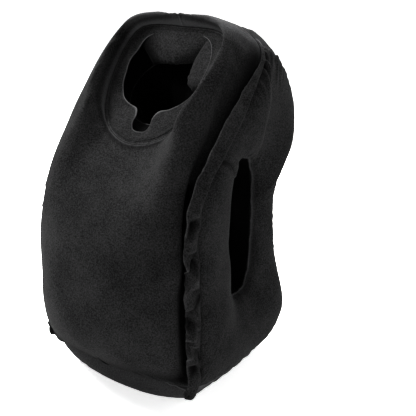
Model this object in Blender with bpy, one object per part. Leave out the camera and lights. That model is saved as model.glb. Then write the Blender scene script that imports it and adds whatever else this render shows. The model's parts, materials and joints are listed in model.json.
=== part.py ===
# Inflatable camp pillow for leaning forward on: a front cushion with a face opening, behind it
# a ring of air around an arm tunnel, webs inside that hold its shape, and an air valve low on
# the back.  Metres, +Z up, the front toward -Y, standing on Z = 0.
#
# The front cushion is laid out in seam coordinates (x, s, h): x across, s along the line that
# the front seam makes in side view, and h forward from that line.

import bpy
import bmesh
import numpy as np
from math import cos, pi, radians, sin
from mathutils import Matrix, Vector
from mathutils.bvhtree import BVHTree

# Sheets and clearances
SHEET = 0.0006          # flocked sheet
WEB_SHEET = 0.0006      # plain sheet of the webs
WELD = 0.0012           # two sheets welded flat
GAP = 0.0003            # between neighbours

# Front seam, side view: upright, then a bend, then a straight slope
SEAM_FRONT_Y = -0.086
SEAM_FOOT_Z = 0.042
SEAM_UPRIGHT = 0.2145
SEAM_BEND_RADIUS = 0.130
SEAM_BEND = radians(47.4)
SEAM_SLOPE = 0.215

# Front seam, front view
BELLY_HALF_WIDTH = 0.136
HEAD_HALF_WIDTH = 0.128
NECK_START = 0.150      # where the width starts to narrow, along the seam line
NECK_END = 0.300
FOOT_CORNER = 0.020
HEAD_CORNER = 0.060

# Front cushion
BELLY_DEPTH = 0.071
NECK_DEPTH = 0.047
HEAD_DEPTH = 0.068
BELLY_S = 0.100         # along the seam line, where those depths are reached
NECK_S = 0.290
HEAD_S = 0.420
FOOT_ROUND = 0.105      # length over which the belly rises from the foot seam
HEAD_ROUND = 0.036
BELLY_CROWN_POWER = 2.0
HEAD_CROWN_POWER = 2.9
BACK_CROWN_POWER = 2.0
RECESS_ROUND = 0.030    # widest rounding beside the face flange
CHIN_TOP = 0.385        # along the seam line, where that fall takes over
CHIN_LOW = 0.335
CHIN_REACH = 0.130      # length over which the belly falls away below the face flange

# Face flange, a flat plate in its own plane; points are (half width, distance below its top)
FACE_TOP_RISE = 0.0349  # height of the plate above the seam surface at its top
FACE_TILT = radians(7.1)
FACE_TOP_INSET = 0.0225  # from the top end of the seam line
FACE_OUTLINE = ((0.0, 0.191), (0.012, 0.190), (0.026, 0.186), (0.040, 0.179), (0.053, 0.169),
                (0.070, 0.147), (0.081, 0.115), (0.0865, 0.080), (0.0865, 0.042),
                (0.077, 0.012), (0.052, 0.001), (0.0, 0.0))
KEYHOLE = ((0.0, 0.170), (0.010, 0.1675), (0.0145, 0.158), (0.0145, 0.146), (0.021, 0.1345),
           (0.037, 0.129), (0.053, 0.117), (0.065, 0.092), (0.067, 0.060),
           (0.060, 0.028), (0.040, 0.012), (0.0, 0.008))
FACE_WELD_WIDTH = 0.004
FACE_EDGE_CLEARANCE = 0.0008

# Duct from the face opening to the arm tunnel
DUCT_MIDDLE_S = 0.428   # its oval where it passes the divider
DUCT_HALF_WIDTH = 0.060
DUCT_HALF_LENGTH = 0.062
DUCT_END_HALF_WIDTH = 0.045
DUCT_END_HALF_DEPTH = 0.018

# Arm tunnel, an oblong through the ring of air
TUNNEL_Y = 0.041
TUNNEL_Z = 0.238
TUNNEL_HALF_WIDTH = 0.035
TUNNEL_HALF_HEIGHT = 0.103
TUNNEL_POWER = 3.2
TUNNEL_LEAN = 0.04      # backward shift of the oblong per metre of height
TUNNEL_MOUTH_X = 0.118

# Back of the ring of air, side view (y, z), from the head seam round to the foot seam
BACK_LINE = ((0.136, 0.470), (0.158, 0.446), (0.170, 0.408), (0.165, 0.366), (0.145, 0.334),
             (0.125, 0.305), (0.117, 0.262), (0.120, 0.200), (0.130, 0.140), (0.144, 0.092),
             (0.138, 0.054), (0.100, 0.036), (0.015, 0.030), (-0.055, 0.037))
BACK_HALF_WIDTH = 0.128
BACK_BLEND = 0.060      # length over which the back takes up the seam's corners
LOBE_CROWN = 0.026
WAIST_CROWN = 0.022
BASE_CROWN = 0.044
BACK_HEAD_ROUND = 0.045
BACK_FOOT_ROUND = 0.030
SIDE_BULGE_SHARE = 0.26
SIDE_BULGE_MAX = 0.026
CORNER_JOIN = sin(pi / 4)  # the side seams leave the front seam half way round its corners

# Flanges
SIDE_FLANGE = 0.010
END_FLANGE = 0.005
FLANGE_INSET = 0.002
FLANGE_ROOT = 0.001     # where the end flanges start to lean forward
END_FLANGE_LEAN = 0.45   # forward shift of the end flanges per metre of width
BACK_FLANGE = 0.003
MOUTH_FLANGE = 0.002

# Webs
WEB_GAP = 0.0006
WEB_X = 0.047
LOBE_WEB_X = 0.085
BULKHEAD_S = 0.300
BULKHEAD_ANGLE = radians(128)

# Valve
VALVE_SHARE = 0.515     # place along the back line
VALVE_FLANGE_RADIUS = 0.022
VALVE_FLANGE = 0.0014
COLLAR_RADIUS = 0.0140
COLLAR_BORE = 0.0110
COLLAR_HEIGHT = 0.0060
THROAT_WALL = 0.0014
THROAT_DEPTH = 0.0050
PANEL_HOLE_RADIUS = COLLAR_BORE + THROAT_WALL + GAP
PLUG_DEPTH = 0.0030
PLUG_RIM = 0.0014
PLUG_TAPER = 0.0004
PLUG_FLOOR = 0.0012
PORT_RADIUS = 0.0052
CAP_RIM_RADIUS = 0.0072
CAP_RIM = 0.0012
CAP_DEPTH = 0.0018
PLUG_HINGE = 0.0172     # hinge line from the valve's axis
CAP_HINGE = 0.0096
FLAP_RADIUS = 0.0070
FLAP_SHEET = 0.0006
STRAP_WIDTH = 0.0060
KNUCKLE_RADIUS = 0.0008

# Mesh steps
SEAM_STEPS = 20
END_STEPS = 5           # from the middle of each end of the front seam to the side seam
PANEL_ROWS = 10
SIDE_ROWS = 9
BACK_STEPS = 44
BACK_COLUMNS = 14
TUNNEL_STEPS = 40
OUTLINE_STEPS = 3
LATHE_STEPS = 40

# Colours (linear), roughness
FLOCK = ((0.020, 0.020, 0.021), 0.95)
PLAIN_SHEET = ((0.016, 0.016, 0.017), 0.55)
VALVE_PLASTIC = ((0.030, 0.030, 0.032), 0.40)
VALVE_RUBBER = ((0.045, 0.045, 0.048), 0.60)

SEAM_LENGTH = SEAM_UPRIGHT + SEAM_BEND_RADIUS * SEAM_BEND + SEAM_SLOPE


# ---- curves -------------------------------------------------------------------------------

def smoothstep(low, high, value):
    share = np.clip((value - low) / (high - low), 0.0, 1.0)
    return share * share * (3.0 - 2.0 * share)


def arch(share):
    # quarter ellipse: 0 with a steep start, 1 from share 1 on
    return np.sqrt(1.0 - (1.0 - np.clip(share, 0.0, 1.0)) ** 2)


def crown(across, power):
    return np.sqrt(np.clip(1.0 - np.abs(across) ** power, 0.0, 1.0))


def resample(points, count):
    points = np.asarray(points, float)
    step = np.linalg.norm(np.diff(points, axis=0), axis=1)
    length = np.concatenate([[0.0], np.cumsum(step)])
    want = np.linspace(0.0, length[-1], count)
    return np.stack([np.interp(want, length, column) for column in points.T], axis=1)


def resample_like(points, other):
    # as many points as the other line has, at the same shares of its length
    dense = resample(points, 400)
    step = np.linalg.norm(np.diff(other, axis=0), axis=1)
    share = np.concatenate([[0.0], np.cumsum(step)]) / step.sum()
    return np.stack([np.interp(share, np.linspace(0.0, 1.0, 400), column)
                     for column in dense.T], axis=1)


def curve_through(points, steps):
    # Catmull-Rom curve with a given number of steps between neighbouring points
    points = np.asarray(points, float)
    first = 2 * points[0] - points[1]
    last = 2 * points[-1] - points[-2]
    padded = np.vstack([first, points, last])
    share = np.linspace(0.0, 1.0, steps, endpoint=False)[:, None]
    pieces = []
    for a, b, c, d in zip(padded, padded[1:], padded[2:], padded[3:]):
        pieces.append(0.5 * (2 * b + (c - a) * share + (2 * a - 5 * b + 4 * c - d) * share ** 2
                             + (3 * b - a - 3 * c + d) * share ** 3))
    return np.vstack(pieces + [points[-1:]])


def mirrored_loop(half):
    # half runs from the bottom centre to the top centre on the +X side
    return np.vstack([half, half[-2:0:-1] * (-1.0, 1.0)])


def outline_loop(half_points, steps=OUTLINE_STEPS):
    # closed curve from points (half width, distance below the top), as (x, minus that distance)
    points = np.asarray(half_points, float) * (1.0, -1.0)
    around = np.vstack([points[1:2] * (-1.0, 1.0), points, points[-2:-1] * (-1.0, 1.0)])
    half = curve_through(around, steps)[steps:-steps]
    return mirrored_loop(half)


def grown(loop, distance):
    # closed planar loop moved outward; it runs anticlockwise as (x, s)
    ahead = np.roll(loop, -1, axis=0) - np.roll(loop, 1, axis=0)
    ahead /= np.linalg.norm(ahead, axis=1)[:, None]
    outward = np.stack([ahead[:, 1], -ahead[:, 0]], axis=1)
    return loop + outward * np.reshape(distance, (-1, 1))


# ---- front seam ---------------------------------------------------------------------------

def seam_line(s):
    turn = np.clip((s - SEAM_UPRIGHT) / SEAM_BEND_RADIUS, 0.0, SEAM_BEND)
    upright = np.minimum(s, SEAM_UPRIGHT)
    slope = np.maximum(s - SEAM_UPRIGHT - SEAM_BEND_RADIUS * SEAM_BEND, 0.0)
    y = SEAM_FRONT_Y + SEAM_BEND_RADIUS * (1.0 - np.cos(turn)) + slope * sin(SEAM_BEND)
    z = SEAM_FOOT_Z + upright + SEAM_BEND_RADIUS * np.sin(turn) + slope * cos(SEAM_BEND)
    return y, z, -np.cos(turn), np.sin(turn)


def on_seam(x, s, h):
    y, z, forward_y, forward_z = seam_line(s)
    return np.stack(np.broadcast_arrays(x, y + forward_y * h, z + forward_z * h), axis=-1)


def corner_inset(distance, radius):
    return radius * (1.0 - arch(distance / radius))


def seam_half_width(s):
    width = BELLY_HALF_WIDTH - (BELLY_HALF_WIDTH - HEAD_HALF_WIDTH) * smoothstep(NECK_START,
                                                                                 NECK_END, s)
    return width - corner_inset(s, FOOT_CORNER) - corner_inset(SEAM_LENGTH - s, HEAD_CORNER)


def end_edge(x, half_width, radius):
    # how far the seam's end has curved back from its middle at x
    past = np.clip((np.abs(x) - (half_width - radius)) / radius, 0.0, 1.0)
    return radius * (1.0 - np.sqrt(1.0 - past * past))


def join_ends():
    # seam line lengths where the side seams leave the front seam
    foot = end_edge(JOIN_FOOT_X, BELLY_HALF_WIDTH, FOOT_CORNER)
    return float(foot), float(SEAM_LENGTH - end_edge(JOIN_HEAD_X, HEAD_HALF_WIDTH, HEAD_CORNER))


def seam_stations():
    foot, head = join_ends()
    return np.linspace(foot, head, SEAM_STEPS + 1)


def seam_loop():
    # points (x, s) all round, the same for every piece that meets the front seam
    past = np.sin(np.array((0.0, pi / 8, pi / 4)))
    middle = np.linspace(0.0, 1.0, 4)[:-1]
    foot_flat, head_flat = BELLY_HALF_WIDTH - FOOT_CORNER, HEAD_HALF_WIDTH - HEAD_CORNER
    foot_x = np.concatenate([middle * foot_flat, foot_flat + past[:-1] * FOOT_CORNER])
    head_x = np.concatenate([middle * head_flat, head_flat + past[:-1] * HEAD_CORNER])[::-1]
    foot = np.stack([foot_x, end_edge(foot_x, BELLY_HALF_WIDTH, FOOT_CORNER)], axis=1)
    head = np.stack([head_x, SEAM_LENGTH - end_edge(head_x, HEAD_HALF_WIDTH, HEAD_CORNER)],
                    axis=1)
    s = seam_stations()
    side = np.stack([seam_half_width(s), s], axis=1)
    return mirrored_loop(np.vstack([foot, side, head]))


# ---- front cushion ------------------------------------------------------------------------

def cushion_height(x, s):
    toward_head = smoothstep(NECK_S, HEAD_S, s)
    depth = (BELLY_DEPTH + (NECK_DEPTH - BELLY_DEPTH) * smoothstep(BELLY_S, NECK_S, s)
             + (HEAD_DEPTH - NECK_DEPTH) * toward_head)
    power = BELLY_CROWN_POWER + (HEAD_CROWN_POWER - BELLY_CROWN_POWER) * toward_head
    ends = arch(s / FOOT_ROUND) * arch((SEAM_LENGTH - s) / HEAD_ROUND)
    across = np.clip(np.abs(x) / seam_half_width(s), 0.0, 1.0)
    return depth * ends * crown(across, power)


def face_to_seam(loop, rise=0.0):
    # plate coordinates (x, height from the plate's top) to seam coordinates (x, s, h)
    s = SEAM_LENGTH - FACE_TOP_INSET + loop[:, 1] * cos(FACE_TILT) - rise * sin(FACE_TILT)
    h = FACE_TOP_RISE + loop[:, 1] * sin(FACE_TILT) + rise * cos(FACE_TILT)
    return loop[:, 0], s, h


def face_height(s):
    return FACE_TOP_RISE - (SEAM_LENGTH - FACE_TOP_INSET - s) * np.tan(FACE_TILT)


def duct_oval(count):
    angle = np.linspace(0.0, 2 * pi, count, endpoint=False) - pi / 2
    return angle, DUCT_HALF_WIDTH * np.cos(angle), DUCT_HALF_LENGTH * np.sin(angle)


# ---- arm tunnel ---------------------------------------------------------------------------

def tunnel_section(angle, grow=0.0):
    # oblong |y/a|^p + |z/b|^p = 1; angle 0 points back and a quarter turn points up
    turn_y, turn_z = np.cos(angle), np.sin(angle)
    reach = (np.abs(turn_y) ** TUNNEL_POWER
             + np.abs(turn_z) ** TUNNEL_POWER) ** (-1.0 / TUNNEL_POWER)
    rise = (TUNNEL_HALF_HEIGHT + grow) * turn_z * reach
    y = TUNNEL_Y + (TUNNEL_HALF_WIDTH + grow) * turn_y * reach + TUNNEL_LEAN * rise
    return y, TUNNEL_Z + rise


def tunnel_ceiling(across, grow=0.0):
    # height and lean of the tunnel's top at a distance across from its middle
    wide = TUNNEL_HALF_WIDTH + grow
    high = TUNNEL_HALF_HEIGHT + grow
    z = TUNNEL_Z + high * (1.0 - np.abs(across / wide) ** TUNNEL_POWER) ** (1.0 / TUNNEL_POWER)
    return TUNNEL_Y + across + TUNNEL_LEAN * (z - TUNNEL_Z), z


# ---- back ---------------------------------------------------------------------------------

def back_line(share):
    # y, z and outward normal of the back in side view, by share of its length
    foot_s, head_s = join_ends()
    head = on_seam(0.0, head_s, -WELD / 2 - GAP)[1:]
    foot = on_seam(0.0, foot_s, -WELD / 2 - GAP)[1:]
    line = resample(curve_through(np.vstack([head, BACK_LINE, foot]), 12), 241)
    length = np.linspace(0.0, 1.0, len(line))
    ahead = np.gradient(line, axis=0)
    ahead /= np.linalg.norm(ahead, axis=1)[:, None]
    y, z, ahead_y, ahead_z = (np.interp(share, length, column)
                              for column in (line[:, 0], line[:, 1], ahead[:, 0], ahead[:, 1]))
    return y, z, -ahead_z, ahead_y


def back_stations():
    return np.linspace(0.0, 1.0, BACK_STEPS + 1)


JOIN_HEAD_X = HEAD_HALF_WIDTH - HEAD_CORNER * (1.0 - CORNER_JOIN)
JOIN_FOOT_X = BELLY_HALF_WIDTH - FOOT_CORNER * (1.0 - CORNER_JOIN)


def back_length():
    y, z, _, _ = back_line(np.linspace(0.0, 1.0, 400))
    return float(np.sum(np.hypot(np.diff(y), np.diff(z))))


def back_half_width(share):
    head = 1.0 - smoothstep(0.0, 0.25, share)
    foot = smoothstep(0.75, 1.0, share)
    return (BACK_HALF_WIDTH + (JOIN_HEAD_X - BACK_HALF_WIDTH) * head
            + (JOIN_FOOT_X - BACK_HALF_WIDTH) * foot)


def back_surface(across, share, inward=0.0):
    # across runs -1 to 1 between the side seams; inward moves the surface along its section
    length = back_length()
    y, z, out_y, out_z = back_line(share)
    x = across * (back_half_width(share) - WELD / 2 - GAP)
    depth = (LOBE_CROWN + (WAIST_CROWN - LOBE_CROWN) * smoothstep(0.20, 0.40, share)
             + (BASE_CROWN - WAIST_CROWN) * smoothstep(0.55, 0.75, share))
    ends = (arch(share * length / BACK_HEAD_ROUND)
            * arch((1.0 - share) * length / BACK_FOOT_ROUND))
    bulge = depth * ends * crown(across, BACK_CROWN_POWER) - inward
    near_head = 1.0 - smoothstep(0.0, BACK_BLEND / length, share)
    near_foot = 1.0 - smoothstep(0.0, BACK_BLEND / length, 1.0 - share)
    head_s = SEAM_LENGTH - end_edge(x, HEAD_HALF_WIDTH, HEAD_CORNER)
    foot_s = end_edge(x, BELLY_HALF_WIDTH, FOOT_CORNER)
    foot_join, head_join = join_ends()
    head_y, head_z, _, _ = seam_line(head_s)
    join_y, join_z, _, _ = seam_line(np.asarray(head_join))
    y = y + out_y * bulge + near_head * (head_y - join_y)
    z = z + out_z * bulge + near_head * (head_z - join_z) + near_foot * (foot_s - foot_join)
    return np.stack(np.broadcast_arrays(x, y, np.maximum(z, inward)), axis=-1)


# ---- mesh building ------------------------------------------------------------------------

def make_object(name, mesh, look):
    colour, roughness = look
    material = bpy.data.materials.new(name)
    material.use_nodes = True
    shader = material.node_tree.nodes["Principled BSDF"]
    shader.inputs["Base Color"].default_value = (*colour, 1.0)
    shader.inputs["Roughness"].default_value = roughness
    shader.inputs["Metallic"].default_value = 0.0
    mesh.materials.append(material)
    mesh.shade_smooth()
    thing = bpy.data.objects.new(name, mesh)
    bpy.context.scene.collection.objects.link(thing)
    return thing


def closed_mesh(name, vertices, faces, look):
    mesh = bpy.data.meshes.new(name)
    mesh.from_pydata(np.asarray(vertices).tolist(), [], faces)
    work = bmesh.new()
    work.from_mesh(mesh)
    bmesh.ops.recalc_face_normals(work, faces=work.faces)
    work.to_mesh(mesh)
    work.free()
    return make_object(name, mesh, look)


def grid_normals(grid, closed):
    along = np.roll(grid, -1, axis=0) - np.roll(grid, 1, axis=0)
    if not closed:
        along[0] = grid[1] - grid[0]
        along[-1] = grid[-1] - grid[-2]
    normal = np.cross(along, np.gradient(grid, axis=1))
    return normal / np.linalg.norm(normal, axis=2)[:, :, None]


def sheet(name, grid, thickness, look, closed=False, offset=None):
    # a grid of outer points and the same grid moved inward by the sheet's thickness
    inward = offset if offset is not None else -grid_normals(grid, closed) * thickness
    rows, columns = grid.shape[:2]
    vertices = np.concatenate([grid.reshape(-1, 3), (grid + inward).reshape(-1, 3)])
    back = rows * columns
    index = np.arange(back).reshape(rows, columns)
    faces = []
    last = rows if closed else rows - 1
    for i in range(last):
        j = (i + 1) % rows
        for k in range(columns - 1):
            # both sides are cut along the same diagonal, so the wall keeps its thickness
            quad = (index[i, k], index[j, k], index[j, k + 1], index[i, k + 1])
            for corners in ((0, 1, 2), (0, 2, 3)):
                faces.append([int(quad[c]) for c in corners])
                faces.append([int(quad[c]) + back for c in reversed(corners)])
        for k in (0, columns - 1):
            a, b = int(index[i, k]), int(index[j, k])
            faces.append([a, b, b + back, a + back])
    if not closed:
        for i in (0, rows - 1):
            for k in range(columns - 1):
                a, b = int(index[i, k]), int(index[i, k + 1])
                faces.append([a, b, b + back, a + back])
    return closed_mesh(name, vertices, faces, look)


def lathe(name, profile, look, steps=LATHE_STEPS):
    # closed (radius, height) profile turned round the local Z axis
    angle = np.linspace(0.0, 2 * pi, steps, endpoint=False)
    profile = np.asarray(profile, float)
    vertices, rings = [], []
    for radius, height in profile:
        if radius == 0.0:
            rings.append([len(vertices)] * steps)
            vertices.append((0.0, 0.0, height))
            continue
        rings.append(list(range(len(vertices), len(vertices) + steps)))
        vertices.extend(zip(radius * np.cos(angle), radius * np.sin(angle), [height] * steps))
    faces = []
    count = len(profile)
    for i in range(count):
        lower, upper = rings[i], rings[(i + 1) % count]
        if lower[0] == lower[1] and upper[0] == upper[1]:
            continue
        for k in range(steps):
            m = (k + 1) % steps
            corners = []
            for v in (lower[k], lower[m], upper[m], upper[k]):
                if v not in corners:
                    corners.append(v)
            faces.append(corners)
    return closed_mesh(name, vertices, faces, look)


def apply_boolean(target, tool, operation):
    modifier = target.modifiers.new("cut", "BOOLEAN")
    modifier.operation = operation
    modifier.object = tool
    depsgraph = bpy.context.evaluated_depsgraph_get()
    shaped = bpy.data.meshes.new_from_object(target.evaluated_get(depsgraph))
    shaped.name = target.name
    target.modifiers.clear()
    target.data = shaped
    bpy.data.objects.remove(tool, do_unlink=True)


# ---- front cushion pieces -----------------------------------------------------------------

def front_panel():
    outer = seam_loop()
    half = outer[:len(outer) // 2 + 1]
    ring = grown(outline_loop(FACE_OUTLINE, 12), FACE_EDGE_CLEARANCE)
    ring = mirrored_loop(resample_like(ring[:len(ring) // 2 + 1], half))
    ring_x, ring_s, ring_h = face_to_seam(ring)
    share = (1.0 - np.cos(np.linspace(0.0, pi, PANEL_ROWS + 1))) / 2.0
    x = ring_x[:, None] + (outer[:, :1] - ring_x[:, None]) * share
    s = ring_s[:, None] + (outer[:, 1:] - ring_s[:, None]) * share
    reach = np.hypot(outer[:, 0] - ring_x, outer[:, 1] - ring_s)[:, None]
    rounding = np.minimum(RECESS_ROUND, 0.45 * reach)
    away = reach * share
    chin = smoothstep(CHIN_TOP, CHIN_LOW, ring_s)[:, None]
    rise = (1.0 - chin) * arch(away / rounding) + chin * smoothstep(0.0, CHIN_REACH, away)
    plate = face_height(s)
    h = plate + (cushion_height(x, s) - plate) * rise
    h[:, -1] = 0.0
    grid = on_seam(x, s, h + WELD / 2 + 2 * GAP * share)
    return sheet("front_panel", grid[::-1], SHEET, FLOCK, closed=True)


def face_plate_grid(outer, inner, columns, rise):
    share = np.linspace(0.0, 1.0, columns)
    plane = outer[:, None, :] + (inner - outer)[:, None, :] * share[None, :, None]
    rows = [on_seam(*face_to_seam(plane[:, k], rise)) for k in range(columns)]
    return np.stack(rows, axis=1)


def face_pieces():
    outline = outline_loop(FACE_OUTLINE)
    keyhole = outline_loop(KEYHOLE)
    plate_edge = grown(outline, -FACE_WELD_WIDTH - GAP)
    top_x, top_s, top_h = face_to_seam(np.zeros((1, 2)), -1.0)
    flat_x, flat_s, flat_h = face_to_seam(np.zeros((1, 2)))
    down = (on_seam(top_x, top_s, top_h) - on_seam(flat_x, flat_s, flat_h))[0]
    plate = face_plate_grid(plate_edge, keyhole, 4, WELD / 2)
    sheet("face_flange", plate, WELD, FLOCK, closed=True, offset=down * WELD)
    weld = face_plate_grid(outline, grown(outline, -FACE_WELD_WIDTH), 2, WELD / 2)
    sheet("face_weld", weld, WELD, FLOCK, closed=True, offset=down * WELD)


def face_sleeve():
    steps = len(outline_loop(FACE_OUTLINE))
    top = grown(outline_loop(FACE_OUTLINE), -FACE_WELD_WIDTH / 2)
    top_x, top_s, top_h = face_to_seam(top, -WELD / 2 - GAP)
    _, oval_x, oval_s = duct_oval(steps)
    share = np.linspace(0.0, 1.0, 4)
    x = top_x[:, None] + (oval_x - top_x)[:, None] * share
    s = top_s[:, None] + (DUCT_MIDDLE_S + oval_s - top_s)[:, None] * share
    h = top_h[:, None] + (SHEET * 1.5 + GAP - top_h)[:, None] * share
    sheet("face_sleeve", on_seam(x, s, h), SHEET, FLOCK, closed=True)


def face_duct():
    steps = len(outline_loop(FACE_OUTLINE))
    angle, oval_x, oval_s = duct_oval(steps)
    top = on_seam(oval_x, DUCT_MIDDLE_S + oval_s, -SHEET / 2 - GAP)
    end_y, end_z = tunnel_ceiling(DUCT_END_HALF_DEPTH * np.sin(angle), SHEET)
    end = np.stack([DUCT_END_HALF_WIDTH * np.cos(angle), end_y, end_z + 2 * GAP], axis=1)
    share = np.linspace(0.0, 1.0, 6)[None, :, None]
    grid = top[:, None, :] + (end - top)[:, None, :] * share
    sheet("face_duct", grid, SHEET, FLOCK, closed=True)


def divider_panel():
    outer = grown(seam_loop(), -FLANGE_INSET - GAP)
    _, oval_x, oval_s = duct_oval(len(outer))
    inner = np.stack([oval_x, DUCT_MIDDLE_S + oval_s], axis=1)
    inner = grown(inner, -0.001)
    share = np.linspace(0.0, 1.0, 9)
    x = inner[:, :1] + (outer[:, :1] - inner[:, :1]) * share
    s = inner[:, 1:] + (outer[:, 1:] - inner[:, 1:]) * share
    grid = on_seam(x, s, SHEET / 2 + 0.0 * x)
    return sheet("divider_panel", grid[::-1], SHEET, PLAIN_SHEET, closed=True)


def seam_flanges():
    loop = seam_loop()
    count = len(loop)
    foot_end = END_STEPS
    head_start = END_STEPS + SEAM_STEPS
    runs = {"seam_flange_right": (range(foot_end, head_start + 1), SIDE_FLANGE, 0.0),
            "seam_flange_top": (range(head_start, count - head_start + 1), END_FLANGE,
                                END_FLANGE_LEAN),
            "seam_flange_left": (range(count - head_start, count - foot_end + 1), SIDE_FLANGE,
                                 0.0),
            "seam_flange_bottom": (range(-foot_end, foot_end + 1), END_FLANGE,
                                   END_FLANGE_LEAN)}
    for name, (run, width, lean) in runs.items():
        picked = [i % count for i in run]
        edges = [grown(loop, reach)[picked] for reach in (-FLANGE_INSET, FLANGE_ROOT, width)]
        for edge in edges:
            start = edge[1] - edge[0]
            finish = edge[-1] - edge[-2]
            edge[0] += start / np.linalg.norm(start) * GAP / 2
            edge[-1] -= finish / np.linalg.norm(finish) * GAP / 2
        strip = np.stack(edges, axis=1)
        h = np.array((0.0, 0.0, lean * (width - FLANGE_ROOT))) + WELD / 2
        grid = on_seam(strip[:, :, 0], strip[:, :, 1], h[None, :])
        sheet(name, grid[::-1], WELD, FLOCK)


# ---- ring of air --------------------------------------------------------------------------

def side_edge():
    # closed line (x, y, z) round the right side, up the front seam and down the back
    s = seam_stations()
    front = on_seam(seam_half_width(s), s, -WELD / 2 - GAP)
    share = back_stations()[1:-1]
    y, z, out_y, out_z = back_line(share)
    inset = WELD / 2 + GAP
    back = np.stack([back_half_width(share), y - out_y * inset, z - out_z * inset], axis=1)
    return np.vstack([front, back])


def side_grid():
    edge = side_edge()
    angle = np.arctan2((edge[:, 2] - TUNNEL_Z) / TUNNEL_HALF_HEIGHT,
                       (edge[:, 1] - TUNNEL_Y) / TUNNEL_HALF_WIDTH)
    mouth_y, mouth_z = tunnel_section(angle)
    mouth_x = np.full_like(mouth_y, TUNNEL_MOUTH_X + WELD / 2 + GAP)
    mouth = np.stack([mouth_x, mouth_y, mouth_z], axis=1)
    turn = np.linspace(0.0, pi, SIDE_ROWS + 1)
    share = ((1.0 - np.cos(turn)) / 2.0)[None, :, None]
    grid = edge[:, None, :] + (mouth - edge)[:, None, :] * share
    wall = np.linalg.norm((mouth - edge)[:, 1:], axis=1)
    bulge = SIDE_BULGE_MAX * np.tanh(SIDE_BULGE_SHARE * wall / SIDE_BULGE_MAX)
    grid[:, :, 0] += bulge[:, None] * np.sin(turn)[None, :]
    return grid


def side_panels():
    grid = side_grid()
    for name, side in (("right_side_panel", 1.0), ("left_side_panel", -1.0)):
        facing = grid * (side, 1.0, 1.0)
        sheet(name, facing[::-1] if side > 0 else facing, SHEET, FLOCK, closed=True)


def back_panel():
    across = np.sin(np.linspace(-pi / 2, pi / 2, BACK_COLUMNS + 1))
    share = back_stations()
    grid = back_surface(across[None, :], share[:, None])
    panel = sheet("back_panel", grid[:, ::-1], SHEET, FLOCK)
    cutter = lathe("cutter", ((0.0, -0.02), (PANEL_HOLE_RADIUS, -0.02),
                              (PANEL_HOLE_RADIUS, 0.02), (0.0, 0.02)), FLOCK)
    cutter.matrix_world = valve_frame()
    bpy.context.view_layer.update()
    apply_boolean(panel, cutter, "DIFFERENCE")
    return panel


def back_seams():
    share = back_stations()[1:-1]
    y, z, out_y, out_z = back_line(share)
    for name, side in (("back_seam_right", 1.0), ("back_seam_left", -1.0)):
        rows = []
        for reach in (-WELD / 2, BACK_FLANGE):
            x = side * (back_half_width(share) + WELD / 2)
            rows.append(np.stack([x, y + out_y * reach, z + out_z * reach], axis=1))
        sheet(name, np.stack(rows, axis=1), WELD, FLOCK,
              offset=np.array((-side * WELD, 0.0, 0.0)))


def tunnel_pieces():
    angle = np.linspace(0.0, 2 * pi, TUNNEL_STEPS, endpoint=False)
    end = TUNNEL_MOUTH_X - WELD / 2 - GAP
    along = np.linspace(-end, end, 7)
    y, z = tunnel_section(angle)
    grid = np.stack(np.broadcast_arrays(along[None, :], y[:, None], z[:, None]), axis=-1)
    sleeve = sheet("tunnel_sleeve", grid[::-1], SHEET, FLOCK, closed=True)
    turn, _, _ = duct_oval(36)
    margin = 0.001
    rim = np.stack([(DUCT_END_HALF_WIDTH - margin) * np.cos(turn),
                    (DUCT_END_HALF_DEPTH - margin) * np.sin(turn)], axis=1)
    centre_y = TUNNEL_Y + TUNNEL_LEAN * TUNNEL_HALF_HEIGHT
    low, high = TUNNEL_Z + TUNNEL_HALF_HEIGHT / 2, TUNNEL_Z + TUNNEL_HALF_HEIGHT * 1.3
    count = len(rim)
    vertices = [(x, centre_y + y, level) for level in (low, high) for x, y in rim]
    faces = [list(range(count)), list(range(count, 2 * count))]
    for k in range(count):
        m = (k + 1) % count
        faces.append([k, m, count + m, count + k])
    apply_boolean(sleeve, closed_mesh("cutter", vertices, faces, FLOCK), "DIFFERENCE")
    for name, side in (("arm_weld_right", 1.0), ("arm_weld_left", -1.0)):
        rows = []
        for grow in (SHEET, -MOUTH_FLANGE):
            ring_y, ring_z = tunnel_section(angle, grow)
            x = np.full_like(ring_y, side * (TUNNEL_MOUTH_X + WELD / 2))
            rows.append(np.stack([x, ring_y, ring_z], axis=1))
        sheet(name, np.stack(rows, axis=1), WELD, FLOCK, closed=True,
              offset=np.array((-side * WELD, 0.0, 0.0)))


# ---- webs ---------------------------------------------------------------------------------

def web(name, inner, outer, x):
    # flat sheet at x between two lines of (y, z)
    share = np.linspace(0.0, 1.0, 4)[None, :, None]
    plane = inner[:, None, :] + (outer - inner)[:, None, :] * share
    grid = np.concatenate([np.full(plane.shape[:2] + (1,), x - WEB_SHEET / 2), plane], axis=2)
    sheet(name, grid, WEB_SHEET, PLAIN_SHEET, offset=np.array((WEB_SHEET, 0.0, 0.0)))


def mesh_tree(panel):
    work = bmesh.new()
    work.from_mesh(panel.data)
    tree = BVHTree.FromBMesh(work)
    work.free()
    return tree


def seated(panel, x, start, target):
    # for each line from start toward target, both (y, z) at x, where it meets the panel
    tree = mesh_tree(panel)
    ends = []
    for begin, aim in zip(start, target):
        origin = Vector((x, *begin))
        course = (Vector((x, *aim)) - origin).normalized()
        place, normal, _, _ = tree.ray_cast(origin, course)
        back_off = (WEB_GAP + WEB_SHEET * abs(normal.x)) / abs(normal.dot(course))
        ends.append((place - course * back_off)[1:])
    return np.array(ends)


def back_section(x, low, high, count):
    share = np.linspace(low, high, count)
    across = np.full_like(share, x) / (back_half_width(share) - WELD / 2 - GAP)
    return back_surface(across, share)[:, 1:]


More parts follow.
